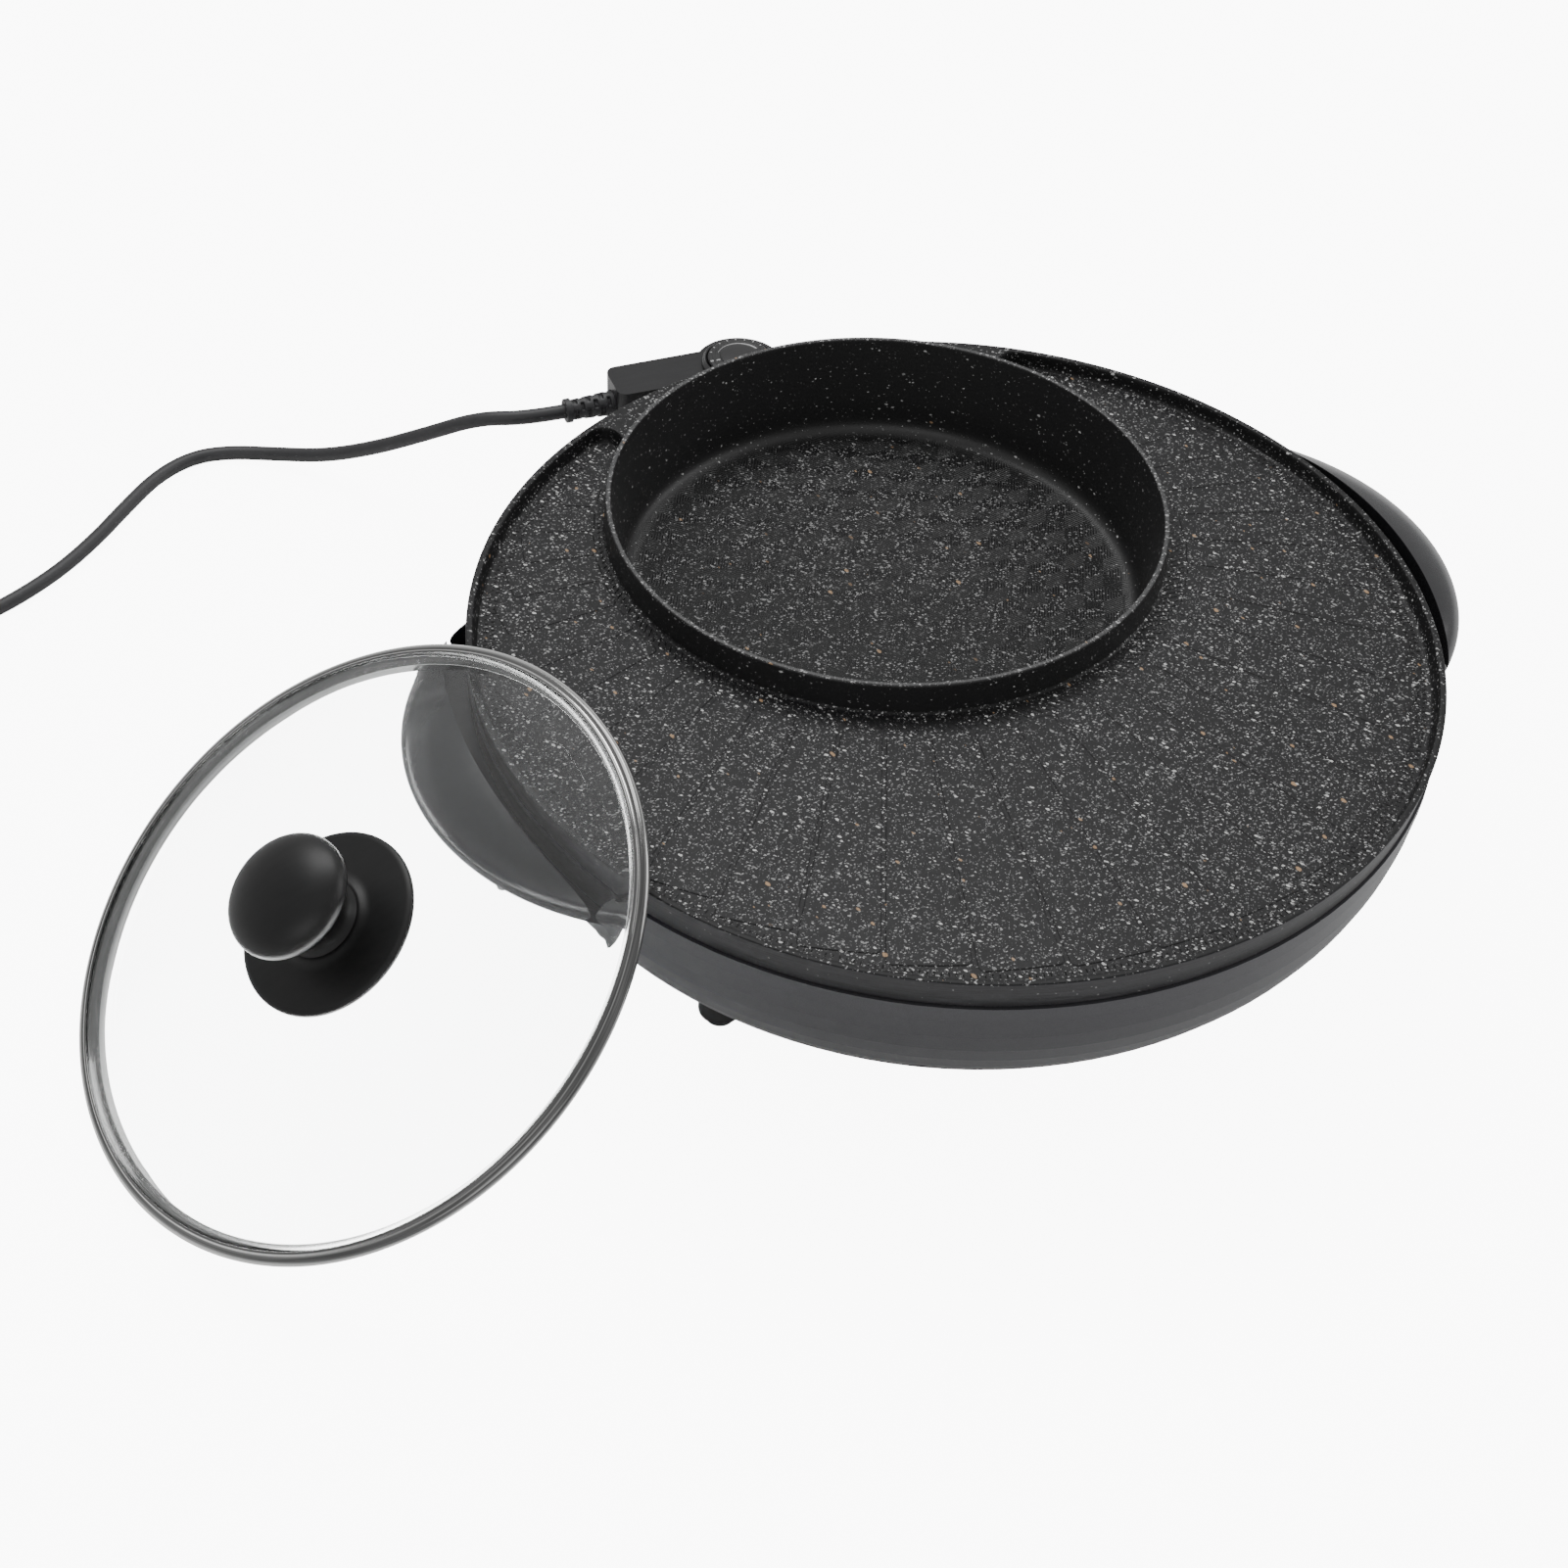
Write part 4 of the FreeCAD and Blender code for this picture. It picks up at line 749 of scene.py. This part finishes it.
# ---- lid ------------------------------------------------------------------------------------
lid_lean = Matrix.Translation(LID_CENTRE) @ lid_turn


def dome_height(r, sunk=0.0):
    """Height of the glass's sphere at a radius, moved in by the given depth."""
    return DOME_TOP - DOME_R + np.sqrt((DOME_R - sunk) ** 2 - np.asarray(r, float) ** 2)


def make_ring():
    """The lid's steel ring as one turned band: lip over the glass, step, round bead, groove, skirt. The
    bead is a circle's arc."""
    bead = np.radians(np.linspace(115, -115, 17))
    arc = [(123.8 + 2.2 * math.cos(t), 2.2 * math.sin(t)) for t in bead]
    before = softened([(121.9, 2.3), (121.2, 2.3), (121.25, 2.9), (122.2, 3.0), (122.6, 2.5), (122.87, 1.99)],
                      [0, 0.15, 0.25, 0.3, 0.2, 0], 4)[1:-1]
    after = softened([(122.87, -1.99), (122.5, -2.5), (118.1, -2.6), (118.05, -4.0), (117.8, -4.4),
                      (118.05, -4.8), (118.0, -7.7), (117.6, -8.0), (117.2, -7.7), (117.2, -2.1),
                      (122.4, -2.0), (122.45, 2.2), (121.9, 2.3)], 0.3, 3)[1:]
    profile = np.concatenate([before, np.array(arc), after])
    points, faces = turned_round(profile, 288, lid_lean)
    return build("lid_ring_rolled", points, faces, RING, "lid", nodes=["lid_ring"],
                 sharp=35)


def make_glass():
    """The pane: a shallow sphere cap with a flat seat under the ring, bored at the centre."""
    out = np.linspace(3.2, DOME_EDGE - 0.8, 28)
    back = out[::-1]
    edge = [(113.8, 2.22), (115.0, 2.2), (121.8, 2.2), (122.3, 1.8), (122.3, -1.5), (121.8, -1.9),
            (115.0, -1.9), (113.6, -1.86)]
    profile = np.concatenate([np.c_[out, dome_height(out)], edge, np.c_[back, dome_height(back, GLASS_T)]])
    points, faces = turned_round(profile, 224, lid_lean)
    return build("lid_pane", points, faces, GLASS, "lid", nodes=["lid_glass"], sharp=60)


def make_knob():
    """The knob's wide foot disc, and its waisted stem under a domed cap: two turned outlines."""
    low = np.linspace(36.6, 2.7, 8)
    top = softened([(2.7, 21.35), (15.0, 21.35), (16.6, 21.25), (19.5, 19.9), (27.0, 19.1), (35.6, 18.3),
                    (37.15, 17.6), (37.15, 15.9), (36.6, 15.6)], [0, 0, 0.5, 3, 4, 1.4, 0.8, 0.3, 0], 5)
    foot = np.concatenate([top[:-1], np.c_[low, dome_height(low) + 0.65]])
    points, faces = turned_round(foot, 160, lid_lean)
    build("knob_foot", points, faces, KNOB, "lid", nodes=["lid_knob_base"], sharp=32)
    cap = np.radians(np.linspace(4, 87, 22))
    rise = [(24.85 * math.cos(t), 43.0 + 10.95 * math.sin(t)) for t in cap[::-1]]
    under = softened([(24.8, 43.2), (24.6, 40.6), (22.0, 38.9), (19.0, 37.6), (15.6, 34.6), (13.5, 28.4),
                      (14.0, 24.4), (15.9, 21.5), (14.9, 21.4)], [0, 1.2, 2, 2, 4, 3, 2, 0.2, 0], 6)
    knob = np.concatenate([[(0, 53.95)], rise, under, [(2.6, 21.4), (2.6, 35.0), (0, 35.4)]])
    points, faces = turned_round(knob, 128, lid_lean)
    return build("knob_cap", points, faces, KNOB, "lid", nodes=["lid_knob"], sharp=40)


make_ring()
make_glass()
make_knob()


# ---- moulded pieces -------------------------------------------------------------------------
def bevelled(name, node, width, body, material, segments=3):
    """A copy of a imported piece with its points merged, its flat areas made whole and every sharp edge
    rounded by a bevel of the given width in millimetres."""
    source = frame["nodes"][node]
    work = bmesh.new()
    work.from_mesh(source.data)
    work.transform(source.matrix_world)
    bmesh.ops.remove_doubles(work, verts=work.verts, dist=2e-6)
    bmesh.ops.dissolve_limit(work, angle_limit=math.radians(0.6), verts=work.verts, edges=work.edges)
    mesh = bpy.data.meshes.new(name)
    work.to_mesh(mesh)
    work.free()
    mesh.materials.clear()
    mesh.materials.append(material)
    mesh.shade_smooth()
    mesh.set_sharp_from_angle(angle=math.radians(30))
    piece = bpy.data.objects.new(name, mesh)
    bpy.context.scene.collection.objects.link(piece)
    rounding = piece.modifiers.new("edge_rounding", "BEVEL")
    rounding.width = width * MM
    rounding.segments = segments
    rounding.limit_method = "ANGLE"
    rounding.angle_limit = math.radians(35)
    rounding.use_clamp_overlap = True
    rounding.harden_normals = True
    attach(piece, body)
    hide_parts(node)
    return piece


bevelled("case_upper", "ctl_case_top", 1.6, "thermostat", CONTROL, 4)
bevelled("case_lower", "ctl_case_bottom", 1.2, "thermostat", CONTROL)
bevelled("socket_shroud", "socket_guard", 0.8, "base", CONTROL)
bevelled("case_nose", "ctl_nose", 0.8, "thermostat", CONTROL)
bevelled("plug_body", "plug", 1.2, "thermostat", PLUG)


# ---- dial -----------------------------------------------------------------------------------
dial_at = Matrix.Translation((0.0, DIAL_Y, 0.0))


def make_bezel():
    """Fixed ring round the dial: two polished steps with a fine groove between them."""
    profile = rounded_outline([(16.3, 70.0), (16.3, 72.7), (17.0, 73.2), (17.35, 72.5), (17.7, 72.5),
                               (18.05, 72.0), (18.55, 71.2), (18.6, 70.0)], 0.25, 3)
    points, faces = turned_round(profile, 160, dial_at)
    return build("dial_surround", points, faces, DIAL_GLOSS, "thermostat", nodes=["dial_bezel"])


def make_dial():
    """The dial: a disc with a knurled edge, a polished ring on its face and a shallow raised middle.
    The edge's radius is cut by a cosine of the angle."""
    profile = softened([(0, 74.78), (8.6, 74.78), (9.4, 74.5), (9.6, 74.05), (11.9, 74.0), (12.2, 74.3),
                        (13.2, 74.3), (13.5, 74.0), (14.7, 74.0), (15.7, 73.3), (15.75, 70.5),
                        (15.2, 70.4), (0, 70.4)],
                       [0, 0, 0.3, 0.2, 0.2, 0.15, 0.15, 0.2, 0.8, 0.5, 0.2, 0, 0], 4)
    points, faces = turned(profile, (0.0, DIAL_Y), 240)
    a = np.arange(240) * 2 * math.pi / 240
    edge = np.interp(profile[:, 0], [14.9, 15.6], [0, 1])[:, None] * (profile[:, 1] < 73.6)[:, None]
    pull = 1 - edge * 0.018 * (0.5 + 0.5 * np.cos(a * 60))
    points[..., 0] *= pull
    points[..., 1] = DIAL_Y + (points[..., 1] - DIAL_Y) * pull
    return build("dial_turned", points, faces, DIAL, "dial", nodes=["dial"], sharp=30)


def arc_mark(r0, r1, a0, a1, steps):
    """Flat ink patch between two radii and two angles in degrees; the radii may change along it."""
    a = np.radians(np.linspace(a0, a1, steps))
    t = np.linspace(0, 1, steps)
    inner, outer = r0[0] + (r0[1] - r0[0]) * t, r1[0] + (r1[1] - r1[0]) * t
    rows = []
    for radius, z in ((inner, 73.95), (inner, 74.06), (outer, 74.06), (outer, 73.95)):
        rows.append(np.stack([radius * np.cos(a), DIAL_Y + radius * np.sin(a), np.full(steps, z)], -1))
    return np.array(rows), quads(4, steps)[:, ::-1]


def make_dial_marks():
    """Printed marks: a swelling arc that reads from low to high, setting ticks and a pointer."""
    marks = [arc_mark((10.7, 10.2), (10.8, 11.2), 150, 20, 48),
             arc_mark((10.0, 10.0), (15.0, 15.0), 178, 182.5, 4)]
    for i in range(9):
        at = 150 - i * 18.0
        marks.append(arc_mark((13.7, 13.7), (14.7, 14.7), at - 1.3, at + 1.3, 3))
    points, faces, count = [], [], 0
    for p, f in marks:
        points.append(p.reshape(-1, 3))
        faces.append(f + count)
        count += len(points[-1])
    return build("dial_marks", np.concatenate(points), np.concatenate(faces), INK, "dial",
                 sharp=20)


make_bezel()
make_dial()
make_dial_marks()


# ---- strain relief --------------------------------------------------------------------------
def make_relief():
    """The sleeve where the lead leaves the case: a grid in (length, angle) whose radius tapers, with
    rows of slots set a half turn apart and a plain collar at each end."""
    x = np.concatenate([[-58.2, -58.2, -60.0, -60.2, -64.2, -64.4], np.arange(-64.8, -85.4, -0.4),
                        [-85.6, -88.2, -88.5, -88.5]])
    steps = 72
    a = np.arange(steps) * 2 * math.pi / steps
    r = np.interp(-x, [64.4, 85.5], [6.15, 4.9])
    r = np.where(x < -85.5, 5.9, r)
    r[:6] = [3.6, 7.0, 7.0, 6.35, 6.35, 6.2]
    r[-1] = 3.55
    r[-2] = 5.6
    row = (-x - 65.6) / 3.3
    inside = (row > 0) & (row < 6)
    in_slot = smooth_step((0.5 - np.abs(row % 1.0 - 0.42) * 1.55) * 5) * inside
    place = a[None, :] + (np.floor(row) % 2)[:, None] * math.pi / 4
    open_way = smooth_step((0.78 - np.abs(np.cos(place * 2.0))) * 5 + 0.2)
    radius = r[:, None] - 1.3 * in_slot[:, None] * open_way
    points = np.stack([np.broadcast_to(x[:, None], radius.shape), ARM_Y + radius * np.cos(a),
                       PROBE_Z + radius * np.sin(a)], -1)
    return build("lead_sleeve", points, quads(len(x), steps, True, True), CORD, "thermostat",
                 nodes=["strain_relief"], sharp=35)


make_relief()


# ---- lead -----------------------------------------------------------------------------------
def lead_route():
    """The seen part of the lead, then a coil that winds inward, up a layer and outward again, and the
    tail to the plug. The coil's radius and height are smooth steps of the angle turned."""
    seen = [(-88.5, 260, 58), (-108, 260, 58), (-129, 269.5, 56), (-152, 284, 41.5), (-174, 301, 26),
            (-196, 320, 12.5), (-217, 339.5, 4.4), (-238, 349, 3.6), (-257, 350.5, 3.6),
            (-277, 340, 3.6), (-296, 320, 3.6), (-314, 299.5, 3.6), (-335, 280, 3.6),
            (-360, 264, 3.6), (-383, 254.5, 3.6)]
    start, total = math.atan2(-39.0, 15.8), math.radians(1192.1)
    turned_by = np.linspace(0, total, 61)
    deg = np.degrees(turned_by)
    r = 42.1 - 7.2 * smooth_step((deg - 290) / 70) + 7.2 * smooth_step((deg - 1010) / 70)
    z = 3.6 + 7.2 * smooth_step((deg - 650) / 70)
    a = start - turned_by
    coil = np.stack([-419.8 + r * np.cos(a), 287.0 + r * np.sin(a), z], -1)
    tail = [(-461.9, 296, 10.8), (-461.9, 305, 10.0), (-461.8, 314, 9.0)]
    return np.concatenate([np.array(seen), coil, np.array(tail)]) * MM


def make_lead():
    """One quadratic spline along the route with a round section."""
    route = lead_route()
    curve = bpy.data.curves.new("supply_cord", "CURVE")
    curve.dimensions = "3D"
    curve.bevel_depth = CORD_D / 2 * MM
    curve.bevel_resolution = 5
    curve.resolution_u = 8
    curve.use_fill_caps = True
    line = curve.splines.new("NURBS")
    line.points.add(len(route) - 1)
    line.points.foreach_set("co", np.c_[route, np.ones(len(route))].ravel())
    line.order_u = 3
    line.use_endpoint_u = True
    curve.materials.append(CORD)
    piece = bpy.data.objects.new("supply_cord", curve)
    bpy.context.scene.collection.objects.link(piece)
    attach(piece, "thermostat")
    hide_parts("cord", "cord_coil", "cord_tail")
    return piece


make_lead()


# ---- studio ---------------------------------------------------------------------------------
def soft_light(name, at, size, power, towards=(0.0, 0.0, 0.08), tint=(1.0, 1.0, 1.0)):
    lamp = bpy.data.lights.new(name, "AREA")
    lamp.shape = "RECTANGLE"
    lamp.size, lamp.size_y = size
    lamp.energy = power
    lamp.color = tint
    o = bpy.data.objects.new(name, lamp)
    o.location = at
    o.rotation_euler = (Vector(towards) - Vector(at)).to_track_quat("-Z", "Y").to_euler()
    bpy.context.scene.collection.objects.link(o)


def studio():
    """A pale floor with barely any mottle, a bright even surround and large soft lights. The floor is
    lit from within like a light table, but only to the eye, straight on or through the glass: it
    throws no extra light on the griddle."""
    made, tree, shader, place = finish_of("studio_floor")
    haze = noise(tree, place, 3.0, 2.0)
    feed(tree, shader.inputs["Base Color"], mixed(tree, haze, (0.86, 0.86, 0.86), (0.9, 0.9, 0.9)))
    shader.inputs["Roughness"].default_value = 0.9
    way = add(tree, "LightPath").outputs
    seen = calc(tree, "MAXIMUM", way["Is Camera Ray"], way["Is Transmission Ray"])
    shader.inputs["Emission Color"].default_value = (1.0, 1.0, 1.0, 1.0)
    feed(tree, shader.inputs["Emission Strength"], calc(tree, "MULTIPLY", seen, 9.0))
    edge = 9000.0
    mesh = bpy.data.meshes.new("studio_floor")
    s = edge * MM
    mesh.from_pydata([(-s, -s, 0), (s, -s, 0), (s, s, 0), (-s, s, 0)], [], [(0, 1, 2, 3)])
    mesh.materials.append(made)
    floor = bpy.data.objects.new("studio_floor", mesh)
    bpy.context.scene.collection.objects.link(floor)
    world = bpy.data.worlds.new("studio_surround")
    world.use_nodes = True
    world.node_tree.nodes["Background"].inputs[0].default_value = (1.0, 1.0, 1.0, 1.0)
    world.node_tree.nodes["Background"].inputs[1].default_value = 0.6
    bpy.context.scene.world = world
    soft_light("overhead", (0.1, 0.9, 1.7), (1.6, 0.8), 22.0)
    soft_light("front_fill", (-1.2, -1.6, 1.3), (1.4, 1.0), 6.0)
    soft_light("right_fill", (1.9, -0.2, 1.1), (1.2, 1.2), 11.0)


studio()
